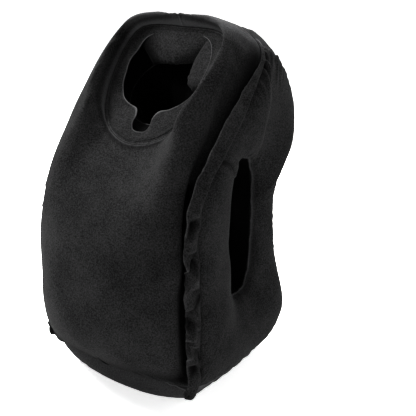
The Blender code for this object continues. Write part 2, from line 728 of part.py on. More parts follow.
def tunnel_wall(first, last):
    # a stretch of the tunnel's outside between two of its stations, with the middles of its flats
    stations = np.arange(min(first, last), max(first, last) + 1)
    y, z = tunnel_section(stations * 2 * pi / TUNNEL_STEPS, SHEET + GAP)
    place = np.linspace(first, last, 2 * abs(last - first) + 1)
    return np.stack([np.interp(place, stations, y), np.interp(place, stations, z)], axis=1)


def webs(front, back, divider):
    quarter = TUNNEL_STEPS // 4
    eighth = TUNNEL_STEPS // 8
    for side, sign in (("left", -1.0), ("right", 1.0)):
        x = sign * WEB_X
        s = np.linspace(0.045, SEAM_UPRIGHT, 12)
        foot = on_seam(x, s, SHEET / 2 + GAP)[:, 1:]
        belly = on_seam(x, s, BELLY_DEPTH)[:, 1:]
        web("belly_web_" + side, foot, seated(front, x, foot, belly), x)

        wall = tunnel_wall(2 * quarter + 3, 2 * quarter - 4)
        upright = on_seam(x, wall[:, 1] - SEAM_FOOT_Z, 0.0)[:, 1:]
        web("front_web_" + side, wall, seated(divider, x, wall, upright), x)

        wall = tunnel_wall(eighth, 3 - eighth)
        outer = back_section(x, 0.40, 0.51, len(wall))
        web("back_web_" + side, wall, seated(back, x, wall, outer), x)

        wall = tunnel_wall(-eighth, -3 * eighth)
        ground = back_section(x, 0.74, 0.90, len(wall))
        web("base_web_" + side, wall, seated(back, x, wall, ground), x)

        x = sign * LOBE_WEB_X
        wall = tunnel_wall(quarter, eighth)
        lobe = back_section(x, 0.08, 0.29, len(wall))
        web("lobe_web_" + side, wall, seated(back, x, wall, lobe), x)


def bulkhead(divider):
    seam = on_seam(0.0, BULKHEAD_S, 0.0)[1:]
    tunnel = np.array(tunnel_section(BULKHEAD_ANGLE, SHEET + 2 * GAP))
    half = TUNNEL_MOUTH_X - WELD - GAP
    share = np.linspace(0.0, 1.0, 4)[:, None]
    rows = []
    for x in np.linspace(-half, half, 13):
        end = seated(divider, x, [tunnel], [seam])[0]
        trim = 1.0 - WEB_SHEET / np.linalg.norm(end - tunnel)
        line = tunnel + (end - tunnel) * share * trim
        rows.append(np.hstack([np.full((4, 1), x), line]))
    sheet("front_bulkhead", np.stack(rows), WEB_SHEET, PLAIN_SHEET)


# ---- valve --------------------------------------------------------------------------------

def valve_frame():
    # on the back's outer surface, Z outward, X to the viewer's left from behind
    step = 0.002
    centre, ahead = (back_surface(np.zeros(1), np.array([share]))[0]
                     for share in (VALVE_SHARE, VALVE_SHARE + step))
    down = Vector(ahead - centre).normalized()
    right = Vector((1.0, 0.0, 0.0))
    outward = down.cross(right).normalized()
    if outward.y < 0.0:
        outward.negate()
    across = (-down).cross(outward)
    frame = Matrix((across, -down, outward)).transposed().to_4x4()
    frame.translation = Vector(centre)
    return frame


def valve_empty(name, frame, offset):
    empty = bpy.data.objects.new(name, None)
    bpy.context.scene.collection.objects.link(empty)
    empty.matrix_world = frame @ Matrix.Translation(offset)
    return empty


def carry(thing, empty, offset=(0.0, 0.0, 0.0)):
    thing.parent = empty
    thing.location = offset


def box_mesh(name, low, high, look):
    corners = [(x, y, z) for z in (low[2], high[2]) for y in (low[1], high[1])
               for x in (low[0], high[0])]
    faces = [(0, 2, 3, 1), (4, 5, 7, 6), (0, 1, 5, 4), (2, 6, 7, 3), (0, 4, 6, 2), (1, 3, 7, 5)]
    return closed_mesh(name, corners, faces, look)


def rod_mesh(name, centre, half_length, radius, look, steps=16):
    rod = lathe(name, ((0.0, -half_length), (radius, -half_length), (radius, half_length),
                       (0.0, half_length)), look, steps)
    rod.data.transform(Matrix.Translation(centre) @ Matrix.Rotation(pi / 2, 4, "Y"))
    return rod


def add_to(target, addition):
    bpy.context.view_layer.update()
    apply_boolean(target, addition, "UNION")


def valve(panel):
    frame = valve_frame()
    base_empty = valve_empty("valve_seat", frame, (0.0, 0.0, 0.0))
    top = VALVE_FLANGE + COLLAR_HEIGHT
    hinge_z = top + KNUCKLE_RADIUS + GAP

    # base: a flange that lies on the back panel, a collar outside and a throat inside
    profile = ((COLLAR_BORE, top), (COLLAR_RADIUS - 0.0004, top),
               (COLLAR_RADIUS, top - 0.0004), (COLLAR_RADIUS, VALVE_FLANGE),
               (VALVE_FLANGE_RADIUS - 0.0005, VALVE_FLANGE),
               (VALVE_FLANGE_RADIUS, VALVE_FLANGE - 0.0006),
               (VALVE_FLANGE_RADIUS, GAP), (VALVE_FLANGE_RADIUS * 0.8, GAP),
               (COLLAR_BORE + THROAT_WALL, GAP), (COLLAR_BORE + THROAT_WALL, -THROAT_DEPTH),
               (COLLAR_BORE, -THROAT_DEPTH))
    base = lathe("valve_base", profile, VALVE_PLASTIC)
    lay_on_panel(base, panel, frame, top)
    lug_low = PLUG_HINGE + KNUCKLE_RADIUS + GAP
    lug = box_mesh("lug", (-STRAP_WIDTH / 2, -lug_low - 0.0022, VALVE_FLANGE / 2),
                   (STRAP_WIDTH / 2, -lug_low, hinge_z + KNUCKLE_RADIUS), VALVE_PLASTIC)
    add_to(base, lug)
    carry(base, base_empty)

    # plug: closes the collar, with the inflation port through it
    plug_empty = valve_empty("plug_hinge", frame, (0.0, -PLUG_HINGE, hinge_z))
    rim_low = top + GAP
    rim_high = rim_low + PLUG_RIM
    plug_low = top - PLUG_DEPTH
    fit = COLLAR_BORE - GAP
    profile = ((PORT_RADIUS, rim_high), (COLLAR_RADIUS - 0.0004, rim_high),
               (COLLAR_RADIUS, rim_high - 0.0004), (COLLAR_RADIUS, rim_low), (fit, rim_low),
               (fit - PLUG_TAPER, plug_low), (fit - PLUG_TAPER - 0.0014, plug_low),
               (fit - PLUG_TAPER - 0.0014, plug_low + PLUG_FLOOR / 3), (PORT_RADIUS,
                plug_low + PLUG_FLOOR / 3))
    plug = lathe("valve_plug", profile, VALVE_PLASTIC)
    tab = box_mesh("tab", (-STRAP_WIDTH / 2, -PLUG_HINGE, hinge_z - KNUCKLE_RADIUS * 0.7),
                   (STRAP_WIDTH / 2, -COLLAR_RADIUS + 0.0006, hinge_z + KNUCKLE_RADIUS * 0.7),
                   VALVE_PLASTIC)
    add_to(plug, tab)
    add_to(plug, rod_mesh("knuckle", (0.0, -PLUG_HINGE, hinge_z), STRAP_WIDTH / 2,
                          KNUCKLE_RADIUS, VALVE_PLASTIC))
    cap_z = rim_high + KNUCKLE_RADIUS + GAP
    post_low = CAP_HINGE + KNUCKLE_RADIUS + GAP
    add_to(plug, box_mesh("post", (-STRAP_WIDTH / 2, -post_low - 0.0016, rim_high - 0.0004),
                          (STRAP_WIDTH / 2, -post_low, cap_z + KNUCKLE_RADIUS), VALVE_PLASTIC))
    carry(plug, plug_empty, (0.0, PLUG_HINGE, -hinge_z))

    # cap: a stopper for the inflation port
    cap_empty = valve_empty("cap_hinge", frame, (0.0, -CAP_HINGE, cap_z))
    stopper = PORT_RADIUS - GAP
    profile = ((0.0, rim_high + GAP + CAP_RIM), (CAP_RIM_RADIUS - 0.0003,
                rim_high + GAP + CAP_RIM), (CAP_RIM_RADIUS, rim_high + 2 * GAP + 0.0003),
               (CAP_RIM_RADIUS, rim_high + GAP), (stopper, rim_high + GAP),
               (stopper - 0.0002, rim_high - CAP_DEPTH), (0.0, rim_high - CAP_DEPTH))
    cap = lathe("valve_cap", profile, VALVE_PLASTIC)
    add_to(cap, box_mesh("tab", (-STRAP_WIDTH / 2, -CAP_HINGE, cap_z - KNUCKLE_RADIUS * 0.6),
                         (STRAP_WIDTH / 2, -CAP_RIM_RADIUS + 0.0006,
                          cap_z + KNUCKLE_RADIUS * 0.6), VALVE_PLASTIC))
    add_to(cap, rod_mesh("knuckle", (0.0, -CAP_HINGE, cap_z), STRAP_WIDTH / 2, KNUCKLE_RADIUS,
                         VALVE_PLASTIC))
    carry(cap, cap_empty, (0.0, CAP_HINGE, -cap_z))

    # check flap: lies under the port and swings into the chamber
    flap_top = plug_low - GAP
    flap_empty = valve_empty("flap_hinge", frame, (0.0, -FLAP_RADIUS, flap_top))
    flap = lathe("check_flap", ((0.0, flap_top), (FLAP_RADIUS, flap_top),
                                (FLAP_RADIUS, flap_top - FLAP_SHEET),
                                (0.0, flap_top - FLAP_SHEET)), VALVE_RUBBER)
    carry(flap, flap_empty, (0.0, FLAP_RADIUS, -flap_top))


def lay_on_panel(base, panel, frame, top):
    # moves the flange's vertices along the valve's axis by the panel's own rise or fall there
    tree = mesh_tree(panel)
    outward = frame.to_3x3() @ Vector((0.0, 0.0, 1.0))
    for vertex in base.data.vertices:
        reach = vertex.co.xy.length
        if vertex.co.z > top - 0.002 or vertex.co.z < 0.0 or reach < COLLAR_BORE + 0.0001:
            continue
        clear = vertex.co.xy * (max(reach, PANEL_HOLE_RADIUS + 0.001) / reach)
        start = frame @ Vector((clear.x, clear.y, 0.02))
        place = tree.ray_cast(start, -outward)[0]
        vertex.co.z += 0.02 - (start - place).length


def build():
    for thing in list(bpy.data.objects):
        bpy.data.objects.remove(thing, do_unlink=True)
    front = front_panel()
    face_pieces()
    face_sleeve()
    face_duct()
    divider = divider_panel()
    seam_flanges()
    side_panels()
    back = back_panel()
    back_seams()
    tunnel_pieces()
    webs(front, back, divider)
    bulkhead(divider)
    valve(back)


build()
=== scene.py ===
import bpy
import json
import numpy as np
from math import cos, pi, radians, sin, tan
from mathutils import Matrix, Vector

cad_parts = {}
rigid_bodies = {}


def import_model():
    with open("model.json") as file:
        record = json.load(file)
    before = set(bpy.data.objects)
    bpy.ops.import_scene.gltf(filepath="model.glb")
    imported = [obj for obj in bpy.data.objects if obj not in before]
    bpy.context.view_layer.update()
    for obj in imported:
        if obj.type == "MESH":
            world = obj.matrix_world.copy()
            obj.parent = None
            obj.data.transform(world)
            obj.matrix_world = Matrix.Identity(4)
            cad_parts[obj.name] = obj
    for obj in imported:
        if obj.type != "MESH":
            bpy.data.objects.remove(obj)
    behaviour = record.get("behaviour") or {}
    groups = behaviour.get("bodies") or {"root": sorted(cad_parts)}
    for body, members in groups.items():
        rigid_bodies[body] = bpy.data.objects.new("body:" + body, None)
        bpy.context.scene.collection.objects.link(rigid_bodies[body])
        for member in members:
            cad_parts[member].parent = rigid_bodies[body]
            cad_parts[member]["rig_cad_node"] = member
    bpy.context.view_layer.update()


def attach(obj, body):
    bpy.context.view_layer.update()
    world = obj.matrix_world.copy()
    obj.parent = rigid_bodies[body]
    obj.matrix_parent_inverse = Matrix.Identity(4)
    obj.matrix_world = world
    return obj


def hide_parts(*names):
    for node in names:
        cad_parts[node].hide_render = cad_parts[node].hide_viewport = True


# Inflatable camp pillow: flocked panels welded along flat flanges, a face opening in the
# sloping front, an arm tunnel from side to side and an air valve low on the back.
# Metres, +Z up, front toward -Y.

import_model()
body = "pillow"
print("frame loaded")


# curves and small helpers

def ramp(low, high, value):
    # smooth step from 0 at low to 1 at high
    share = np.clip((value - low) / (high - low), 0.0, 1.0)
    return share * share * (3.0 - 2.0 * share)


def blend(low, high, share):
    return low + (high - low) * share


def quarter(share):
    # quarter ellipse: 0 with a steep start, 1 from share 1 on
    return np.sqrt(1.0 - (1.0 - np.clip(share, 0.0, 1.0)) ** 2)


def crown(across, power):
    # rounded section: sqrt(1 - |across|^power)
    return np.sqrt(np.clip(1.0 - np.abs(across) ** power, 0.0, 1.0))


def hump(value, middle, width):
    # bell of height 1
    return np.exp(-((value - middle) / width) ** 2)


def evenly(points, count):
    # count points at even steps along a polyline
    points = np.asarray(points, float)
    length = np.concatenate([[0.0], np.cumsum(np.linalg.norm(np.diff(points, axis=0), axis=1))])
    want = np.linspace(0.0, length[-1], count)
    return np.stack([np.interp(want, length, column) for column in points.T], axis=1)


def through(points, steps):
    # Catmull-Rom curve through the points
    points = np.asarray(points, float)
    padded = np.vstack([2 * points[0] - points[1], points, 2 * points[-1] - points[-2]])
    t = np.linspace(0.0, 1.0, steps, endpoint=False)[None, :, None]
    a, b, c, d = (padded[k:len(padded) - 3 + k, None, :] for k in range(4))
    curve = 0.5 * (2 * b + (c - a) * t + (2 * a - 5 * b + 4 * c - d) * t ** 2
                   + (3 * b - a - 3 * c + d) * t ** 3)
    return np.vstack([curve.reshape(-1, points.shape[1]), points[-1:]])


def mirroredLoop(half):
    # half runs from the bottom centre up the +X side to the top centre
    return np.vstack([half, half[-2:0:-1] * (-1.0, 1.0)])


def widened(loop, distance):
    # closed flat loop moved outward by a distance
    ahead = np.roll(loop, -1, axis=0) - np.roll(loop, 1, axis=0)
    ahead /= np.linalg.norm(ahead, axis=1)[:, None]
    return loop + np.stack([ahead[:, 1], -ahead[:, 0]], axis=1) * distance


def travelled(loop):
    # length along a closed loop at each of its points
    step = np.linalg.norm(np.roll(loop, -1, axis=0) - loop, axis=1)
    return np.concatenate([[0.0], np.cumsum(step)[:-1]])


def wander(place, seed, shortest, longest, count=9):
    # uneven ripple along a line: a sum of sines with seeded wavelengths and phases
    pick = np.random.default_rng(seed)
    wave = pick.uniform(shortest, longest, count)
    phase = pick.uniform(0.0, 2 * pi, count)
    place = np.asarray(place)[..., None]
    return np.sin(place * 2 * pi / wave + phase).sum(-1) / np.sqrt(count)


def wanderOver(u, v, seed, shortest, longest, count=12):
    # the same over a surface, each sine running in its own direction
    pick = np.random.default_rng(seed)
    wave = 2 * pi / pick.uniform(shortest, longest, count)
    turn = pick.uniform(0.0, 2 * pi, count)
    phase = pick.uniform(0.0, 2 * pi, count)
    u, v = np.asarray(u)[..., None], np.asarray(v)[..., None]
    return np.sin((u * np.cos(turn) + v * np.sin(turn)) * wave + phase).sum(-1) / np.sqrt(count)


def folds(place, seed, length):
    # sharp folds one after another: a triangle wave whose step varies
    bent = place + 0.22 * length * wander(place, seed, 2.3 * length, 5 * length, 4)
    return 2 / pi * np.arcsin(0.97 * np.sin(2 * pi * bent / length))


# meshes

def normalsOf(grid, closedRows, closedColumns=False):
    # cross product of the two directions of the grid
    def slope(axis, closed):
        if closed:
            return np.roll(grid, -1, axis=axis) - np.roll(grid, 1, axis=axis)
        return np.gradient(grid, axis=axis)
    normal = np.cross(slope(0, closedRows), slope(1, closedColumns))
    return normal / np.maximum(np.linalg.norm(normal, axis=2), 1e-12)[:, :, None]


def gridQuads(rows, columns, closedRows, closedColumns):
    index = np.arange(rows * columns).reshape(rows, columns)
    i = np.arange(rows if closedRows else rows - 1)[:, None]
    k = np.arange(columns if closedColumns else columns - 1)[None, :]
    j, m = (i + 1) % rows, (k + 1) % columns
    return np.stack([index[i, k], index[j, k], index[j, m], index[i, m]], axis=-1).reshape(-1, 4)


def makePiece(name, vertices, quads, rim=None, deep=None):
    # faces are turned outward: the closed mesh has to enclose a positive volume
    vertices = np.asarray(vertices, float)
    a, b, c, d = (vertices[quads[:, k]] for k in range(4))
    volume = (a * np.cross(b, c)).sum() + (a * np.cross(c, d)).sum()
    if volume < 0:
        quads = quads[:, ::-1]
    mesh = bpy.data.meshes.new(name)
    mesh.from_pydata(vertices.tolist(), [], quads.tolist())
    mesh.shade_smooth()
    # per-point values: paler pile, partly wear and partly painted highlight, and painted shade
    for word, values in (("rim", rim), ("deep", deep)):
        values = np.zeros(len(vertices)) if values is None else values
        mesh.attributes.new(word, "FLOAT", "POINT").data.foreach_set(
            "value", values.astype(np.float32))
    thing = bpy.data.objects.new(name, mesh)
    bpy.context.scene.collection.objects.link(thing)
    return thing


def sheetPiece(name, grid, thickness, closed=False, rim=None, deep=None, inward=None):
    # the grid, the same grid moved in by the thickness, and walls along the open edges
    rows, columns = grid.shape[:2]
    shift = -normalsOf(grid, closed) * thickness if inward is None else inward
    vertices = np.concatenate([grid.reshape(-1, 3), (grid + shift).reshape(-1, 3)])
    outer = gridQuads(rows, columns, closed, False)
    back = rows * columns
    index = np.arange(back).reshape(rows, columns)
    walls = []
    for line, loops in ((index[:, 0], closed), (index[::-1, -1], closed),
                        (index[0, ::-1], None), (index[-1, :], None)):
        if loops is None and closed:
            continue
        ahead = np.roll(line, -1) if loops else line[1:]
        here = line if loops else line[:-1]
        walls.append(np.stack([here, here + back, ahead + back, ahead], axis=1))
    quads = np.vstack([outer, outer[:, ::-1] + back] + walls)
    rim, deep = (None if values is None else
                 np.tile(np.broadcast_to(values, (rows, columns)).reshape(-1), 2)
                 for values in (rim, deep))
    return makePiece(name, vertices, quads, rim, deep)


def sidedPiece(word, side, grid, thickness, rim, deep, closed=False):
    # a grid made for the right, put on its own side with its faces outward
    grid = grid * (side, 1.0, 1.0)
    if side > 0:
        grid, rim, deep = grid[::-1], rim[::-1], deep[::-1]
    return sheetPiece(word + ("Right" if side > 0 else "Left"), grid, thickness,
                      closed=closed, rim=rim, deep=deep)


def prismMesh(name, ring, low, high, lid=True):
    # walls over a flat ring of points, with a floor and a lid
    count = len(ring)
    points = np.vstack([np.column_stack([ring, np.full(count, level)]) for level in (low, high)])
    here = np.arange(count)
    ahead = (here + 1) % count
    walls = np.stack([here, ahead, ahead + count, here + count], axis=1)
    ends = [here[::-1].tolist()] + ([(here + count).tolist()] if lid else [])
    mesh = bpy.data.meshes.new(name)
    mesh.from_pydata(points.tolist(), [], ends + walls.tolist())
    return mesh


def ringPiece(name, grid, rim=None):
    # a grid that closes on itself both ways
    rows, columns = grid.shape[:2]
    if rim is not None:
        rim = np.broadcast_to(rim, (rows, columns)).reshape(-1)
    return makePiece(name, grid.reshape(-1, 3), gridQuads(rows, columns, True, True), rim)


def fit(piece, slot, *nodes):
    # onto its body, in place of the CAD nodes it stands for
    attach(piece, body)
    if nodes:
        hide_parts(*nodes)
    return piece


def cutBy(target, tool):
    modifier = target.modifiers.new("cut", "BOOLEAN")
    modifier.operation = "DIFFERENCE"
    modifier.object = tool
    depsgraph = bpy.context.evaluated_depsgraph_get()
    target.data = bpy.data.meshes.new_from_object(target.evaluated_get(depsgraph))
    target.modifiers.clear()
    target.data.shade_smooth()
    bpy.data.objects.remove(tool, do_unlink=True)


# front seam: upright, then a bend, then a straight slope

seam = {
    "frontY": -0.086, "footZ": 0.042,
    "upright": 0.2145, "bendRadius": 0.130, "bend": radians(47.4), "slope": 0.215,
    "bellyHalf": 0.136, "headHalf": 0.128, "neckStart": 0.150, "neckEnd": 0.300,
    "footCorner": 0.020, "headCorner": 0.060,
    "weld": 0.0012, "gap": 0.0003,
}
seamLength = seam["upright"] + seam["bendRadius"] * seam["bend"] + seam["slope"]
behindSeam = -seam["weld"] / 2 - seam["gap"]


def seamLine(s):
    # side view of the seam: place (y, z) and the direction forward from it
    turn = np.clip((s - seam["upright"]) / seam["bendRadius"], 0.0, seam["bend"])
    up = np.minimum(s, seam["upright"])
    slope = np.maximum(s - seam["upright"] - seam["bendRadius"] * seam["bend"], 0.0)
    y = seam["frontY"] + seam["bendRadius"] * (1.0 - np.cos(turn)) + slope * sin(seam["bend"])
    z = seam["footZ"] + up + seam["bendRadius"] * np.sin(turn) + slope * cos(seam["bend"])
    return y, z, -np.cos(turn), np.sin(turn)


def onSeam(x, s, h):
    # x across, s along the seam line, h forward from it
    y, z, forwardY, forwardZ = seamLine(s)
    return np.stack(np.broadcast_arrays(x, y + forwardY * h, z + forwardZ * h), axis=-1)


def seamWidth(s):
    # half width, with rounded corners at both ends
    width = seam["bellyHalf"] - (seam["bellyHalf"] - seam["headHalf"]) * ramp(
        seam["neckStart"], seam["neckEnd"], s)
    foot = seam["footCorner"] * (1.0 - quarter(s / seam["footCorner"]))
    head = seam["headCorner"] * (1.0 - quarter((seamLength - s) / seam["headCorner"]))
    return width - foot - head


def endEdge(x, halfWidth, radius):
    past = np.clip((np.abs(x) - (halfWidth - radius)) / radius, 0.0, 1.0)
    return radius * (1.0 - np.sqrt(1.0 - past * past))


joinHeadX = seam["headHalf"] - seam["headCorner"] * (1.0 - sin(pi / 4))
joinFootX = seam["bellyHalf"] - seam["footCorner"] * (1.0 - sin(pi / 4))
footJoin = float(endEdge(joinFootX, seam["bellyHalf"], seam["footCorner"]))
headJoin = float(seamLength - endEdge(joinHeadX, seam["headHalf"], seam["headCorner"]))


def seamHalf(count):
    # half of the seam's outline as (x, s), from the middle of the foot to the middle of the head
    s = seamLength * (1.0 - np.cos(np.linspace(0.0, pi, 1600))) / 2
    side = np.stack([seamWidth(s), s], axis=1)
    return evenly(np.vstack([[[0.0, 0.0]], side, [[0.0, seamLength]]]), count)


# face plate: a flat flange in its own plane, with the keyhole opening

facePlate = {
    "topRise": 0.0349, "tilt": radians(7.1), "topInset": 0.0225,
    # points are (half width, distance below the top)
    "outline": ((0.0, 0.191), (0.012, 0.190), (0.026, 0.186), (0.040, 0.179), (0.053, 0.169),
                (0.070, 0.147), (0.081, 0.115), (0.0865, 0.080), (0.0865, 0.042),
                (0.077, 0.012), (0.052, 0.001), (0.0, 0.0)),
    "keyhole": ((0.0, 0.170), (0.010, 0.1675), (0.0145, 0.158), (0.0145, 0.146),
                (0.021, 0.1345), (0.037, 0.129), (0.053, 0.117), (0.065, 0.092),
                (0.067, 0.060), (0.060, 0.028), (0.040, 0.012), (0.0, 0.008)),
    "weldWidth": 0.0042, "thickness": 0.0012, "lip": 0.0010,
    "around": 360, "across": 22, "edgeWave": 0.0010, "sag": 0.0022,
}


def plateToSeam(loop, rise=0.0):
    # plate coordinates (x, minus the distance below its top) to seam coordinates
    s = seamLength - facePlate["topInset"] + loop[..., 1] * cos(facePlate["tilt"]) \
        - rise * sin(facePlate["tilt"])
    h = facePlate["topRise"] + loop[..., 1] * sin(facePlate["tilt"]) \
        + rise * cos(facePlate["tilt"])
    return loop[..., 0], s, h


def plateLoop(halfPoints, count):
    # smooth closed outline with evenly spaced points on each half
    points = np.asarray(halfPoints, float) * (1.0, -1.0)
    around = np.vstack([points[1:2] * (-1.0, 1.0), points, points[-2:-1] * (-1.0, 1.0)])
    half = through(around, 16)[16:-16]
    half[[0, -1], 0] = 0.0
    return mirroredLoop(evenly(half, count // 2 + 1))


def paired(halfPoints, count):
    # the same outline with its points shared out by its own corners, so that loops pair up
    points = np.asarray(halfPoints, float) * (1.0, -1.0)
    around = np.vstack([points[1:2] * (-1.0, 1.0), points, points[-2:-1] * (-1.0, 1.0)])
    half = through(around, 60)[60:-60]
    half[[0, -1], 0] = 0.0
    pick = np.round(np.linspace(0, len(half) - 1, count // 2 + 1)).astype(int)
    return mirroredLoop(half[pick])


def makeFacePlate():
    # closed section carried round the opening: upper face, rounded lip at the keyhole, lower face
    outline = paired(facePlate["outline"], facePlate["around"])
    keyhole = paired(facePlate["keyhole"], facePlate["around"])
    inner = widened(outline, -facePlate["weldWidth"] - 0.0002)
    half, lip = facePlate["thickness"] / 2, facePlate["lip"]
    share = np.linspace(0.0, 1.0, facePlate["across"]) ** 0.8
    bend = np.linspace(pi / 2, -pi / 2, 9)
    width = np.linalg.norm(keyhole - inner, axis=1)[:, None]
    top = np.broadcast_to(share[:-1], (len(outline), len(share) - 1))
    round_ = 1.0 - lip / width + lip / width * np.cos(bend)[None, :]
    bottom = np.broadcast_to(share[:-1][::-1], top.shape)
    place = np.concatenate([top * (1.0 - lip / width), round_, bottom * (1.0 - lip / width)],
                           axis=1)
    swell = half + (lip - half) * ramp(0.80, 0.97, share[:-1])
    rise = np.concatenate([swell, lip * np.sin(bend), -swell[::-1]])[None, :]
    loop = inner[:, None, :] + (keyhole - inner)[:, None, :] * place[..., None]
    length = travelled(keyhole)[:, None]
    free = ramp(0.2, 1.0, place)
    wave = facePlate["edgeWave"] * wander(length, 3, 0.030, 0.085) - facePlate["sag"]
    soft = 0.0005 * wanderOver(loop[..., 0], loop[..., 1], 4, 0.03, 0.08)
    grid = onSeam(*plateToSeam(loop, rise + wave * free + soft * ramp(0.0, 0.3, place)))
    # paler pile on the keyhole's lip, upper side only: partly wear, partly painted highlight
    edge = ramp(0.90, 0.99, place) * (rise > -half)
    return ringPiece("facePlate", grid, edge)


def makeFaceWeld():
    # closed section: two pressed lines side by side round the plate's outside
    outline = paired(facePlate["outline"], facePlate["around"])
    half = facePlate["thickness"] / 2
    share = np.linspace(0.0, 1.0, 15)
    press = half + 0.0006 * np.sin(pi * np.clip(share * 2.0 % 1.0, 0, 1)) ** 2 \
        * (share > 0) * (share < 1)
    place = np.concatenate([share, share[::-1]])
    rise = np.concatenate([press, np.full(len(share), -half)])[None, :]
    outward = widened(outline, 0.0010) - outline
    inward = widened(outline, -facePlate["weldWidth"]) - outline
    loop = outline[:, None, :] + outward[:, None, :] * (1.0 - place)[None, :, None] \
        + inward[:, None, :] * place[None, :, None]
    ripple = 0.0003 * wander(travelled(outline)[:, None], 6, 0.008, 0.02)
    grid = onSeam(*plateToSeam(loop, rise + ripple))
    # paler pile on the two weld lines: partly wear, partly painted highlight
    edge = 0.75 * np.exp(-((place - 0.04) / 0.10) ** 2) + 0.5 * np.exp(-((place - 0.5) / 0.1) ** 2)
    return ringPiece("faceWeld", grid, edge[None, :])


fit(makeFacePlate(), "flocked_sheet", "face_flange")
fit(makeFaceWeld(), "flocked_sheet", "face_weld")
print("face plate made")


# front cushion: crowned over the belly and the head, low round the face plate

cushion = {
    "bellyDepth": 0.071, "neckDepth": 0.047, "headDepth": 0.068,
    "bellyAt": 0.100, "neckAt": 0.290, "headAt": 0.420,
    "footRound": 0.105, "headRound": 0.036, "bellyPower": 2.0, "headPower": 2.9,
    "recessRound": 0.030, "chinTop": 0.385, "chinLow": 0.335, "chinReach": 0.130,
    "edgeClearance": 0.0008, "sheet": 0.0006,
    "around": 460, "rows": 84,
    "pucker": 0.0009, "puckerReach": 0.015, "soft": 0.0011, "neckTuck": 0.09,
    "sidePull": 0.0140, "pullReach": 0.028, "shadeReach": 0.028, "shadeSlope": 0.0028,
    # a painted highlight over the head end
    "headHighlight": 0.40,
}


def cushionHeight(x, s):
    # depth along the seam line, times a rounded section across, times the rounded ends
    towardHead = ramp(cushion["neckAt"], cushion["headAt"], s)
    towardNeck = ramp(cushion["bellyAt"], cushion["neckAt"], s)
    depth = blend(cushion["bellyDepth"], cushion["neckDepth"], towardNeck) \
        + (cushion["headDepth"] - cushion["neckDepth"]) * towardHead
    power = blend(cushion["bellyPower"], cushion["headPower"], towardHead)
    ends = quarter(s / cushion["footRound"]) * quarter((seamLength - s) / cushion["headRound"])
    across = np.clip(np.abs(x) / seamWidth(s), 0.0, 1.0)
    tuck = 1.0 - cushion["neckTuck"] * hump(s, 0.315, 0.035) * across ** 3
    return depth * ends * crown(across, power) * tuck


def smoothedAround(values, reach):
    # running mean round the loop, weighted by a bell
    steps = np.arange(-3 * reach, 3 * reach + 1)
    bell = np.exp(-(steps / reach) ** 2)
    return sum(w * np.roll(values, k, axis=0) for k, w in zip(steps, bell / bell.sum()))


def makeFrontCushion():
    # straight lines from the plate's outline to the seam; their height follows the cushion,
    # rounded up from the plate at its sides and falling away slowly below it
    count = cushion["around"]
    outer = mirroredLoop(seamHalf(count // 2 + 1))
    ring = widened(plateLoop(facePlate["outline"], count), cushion["edgeClearance"])
    ringX, ringS, _ = plateToSeam(ring)
    share = ((1.0 - np.cos(np.linspace(0.0, pi, cushion["rows"]))) / 2.0)[None, :]
    x = ringX[:, None] + (outer[:, :1] - ringX[:, None]) * share
    s = ringS[:, None] + (outer[:, 1:] - ringS[:, None]) * share
    reach = np.hypot(outer[:, 0] - ringX, outer[:, 1] - ringS)[:, None]
    away, near = reach * share, reach * (1.0 - share)
    rounding = np.minimum(cushion["recessRound"], 0.45 * reach)
    chin = ramp(cushion["chinTop"], cushion["chinLow"], ringS)[:, None]
    chin = smoothedAround(chin, 7)
    rise = (1.0 - chin) * quarter(away / rounding) + chin * ramp(0.0, cushion["chinReach"], away)
    plate = facePlate["topRise"] - (seamLength - facePlate["topInset"] - s) \
        * tan(facePlate["tilt"])
    h = plate + (cushionHeight(x, s) - plate) * rise
    h[:, -1] = 0.0
    h = smoothedAround(h, 3)
    beside = ramp(0.0, 0.02, s) * ramp(0.0, 0.05, seamLength - s)
    x = x - np.sign(x) * cushion["sidePull"] * beside * ramp(0.0, 0.004, near) \
        * np.exp(-(near / cushion["pullReach"]) ** 2)
    length = travelled(outer)[:, None]
    corner = hump(s, 0.0, 0.03) + 1.2 * hump(s, seamLength, 0.03) + 0.9 * hump(s, 0.29, 0.05)
    pinch = ramp(0.0, 0.006, near) * np.exp(-(near / cushion["puckerReach"]) ** 2)
    pucker = cushion["pucker"] * (0.55 + corner) * pinch * wander(
        length + 0.25 * near, 11, 0.011, 0.032)
    dent = cushion["soft"] * wanderOver(x, s, 12, 0.07, 0.16) * ramp(0.0, 0.02, near) \
        * ramp(0.0, 0.02, away)
    plateLine = 0.0006 * wander(travelled(ring)[:, None], 13, 0.02, 0.05) * hump(away, 0.012, 0.01)
    grid = onSeam(x, s, h + seam["weld"] / 2 + 0.0003 * share)
    normal = normalsOf(grid, True)
    facing = -np.sign(normal[..., 1].sum())
    grid = grid + normal * (facing * (pucker + dent + plateLine))[..., None]
    # paler pile at the plate's edge, partly wear and partly painted highlight, and a painted
    # highlight over the head end
    rim = 0.55 * np.exp(-(away / 0.0016) ** 2) + cushion["headHighlight"] * ramp(
        seamLength - 0.060, seamLength - 0.030, s)
    # painted shade in the valleys beside the side seams and in the recess round the plate
    shade = blend(cushion["shadeReach"], cushion["shadeSlope"], ramp(0.24, 0.30, s))
    deep = beside * np.exp(-(near / shade) ** 3) + 0.45 * np.exp(-((away - 0.004) / 0.003) ** 2)
    deep = np.clip(deep, 0.0, 0.92)
    if facing < 0:
        grid, rim, deep = grid[::-1], rim[::-1], deep[::-1]
    return sheetPiece("frontCushion", grid, cushion["sheet"], closed=True, rim=rim, deep=deep)


frontCushion = fit(makeFrontCushion(), "flocked_sheet", "front_panel")
print("front cushion made")


# walls of the face opening: puffed lobes between the plate, the divider and the tunnel

duct = {
    "middleAt": 0.428, "halfWidth": 0.060, "halfLength": 0.062,
    "endHalfWidth": 0.045, "endHalfDepth": 0.018,
    # lobes: (where each starts, in turns round from the chin; how far it stands in)
    "lobes": ((0.0, 0.004), (0.24, 0.038), (0.41, 0.036), (0.64, 0.004)),
    "around": 288, "rows": 34, "ductRows": 40, "ductPuff": 0.006, "wrinkle": 0.0007,
}

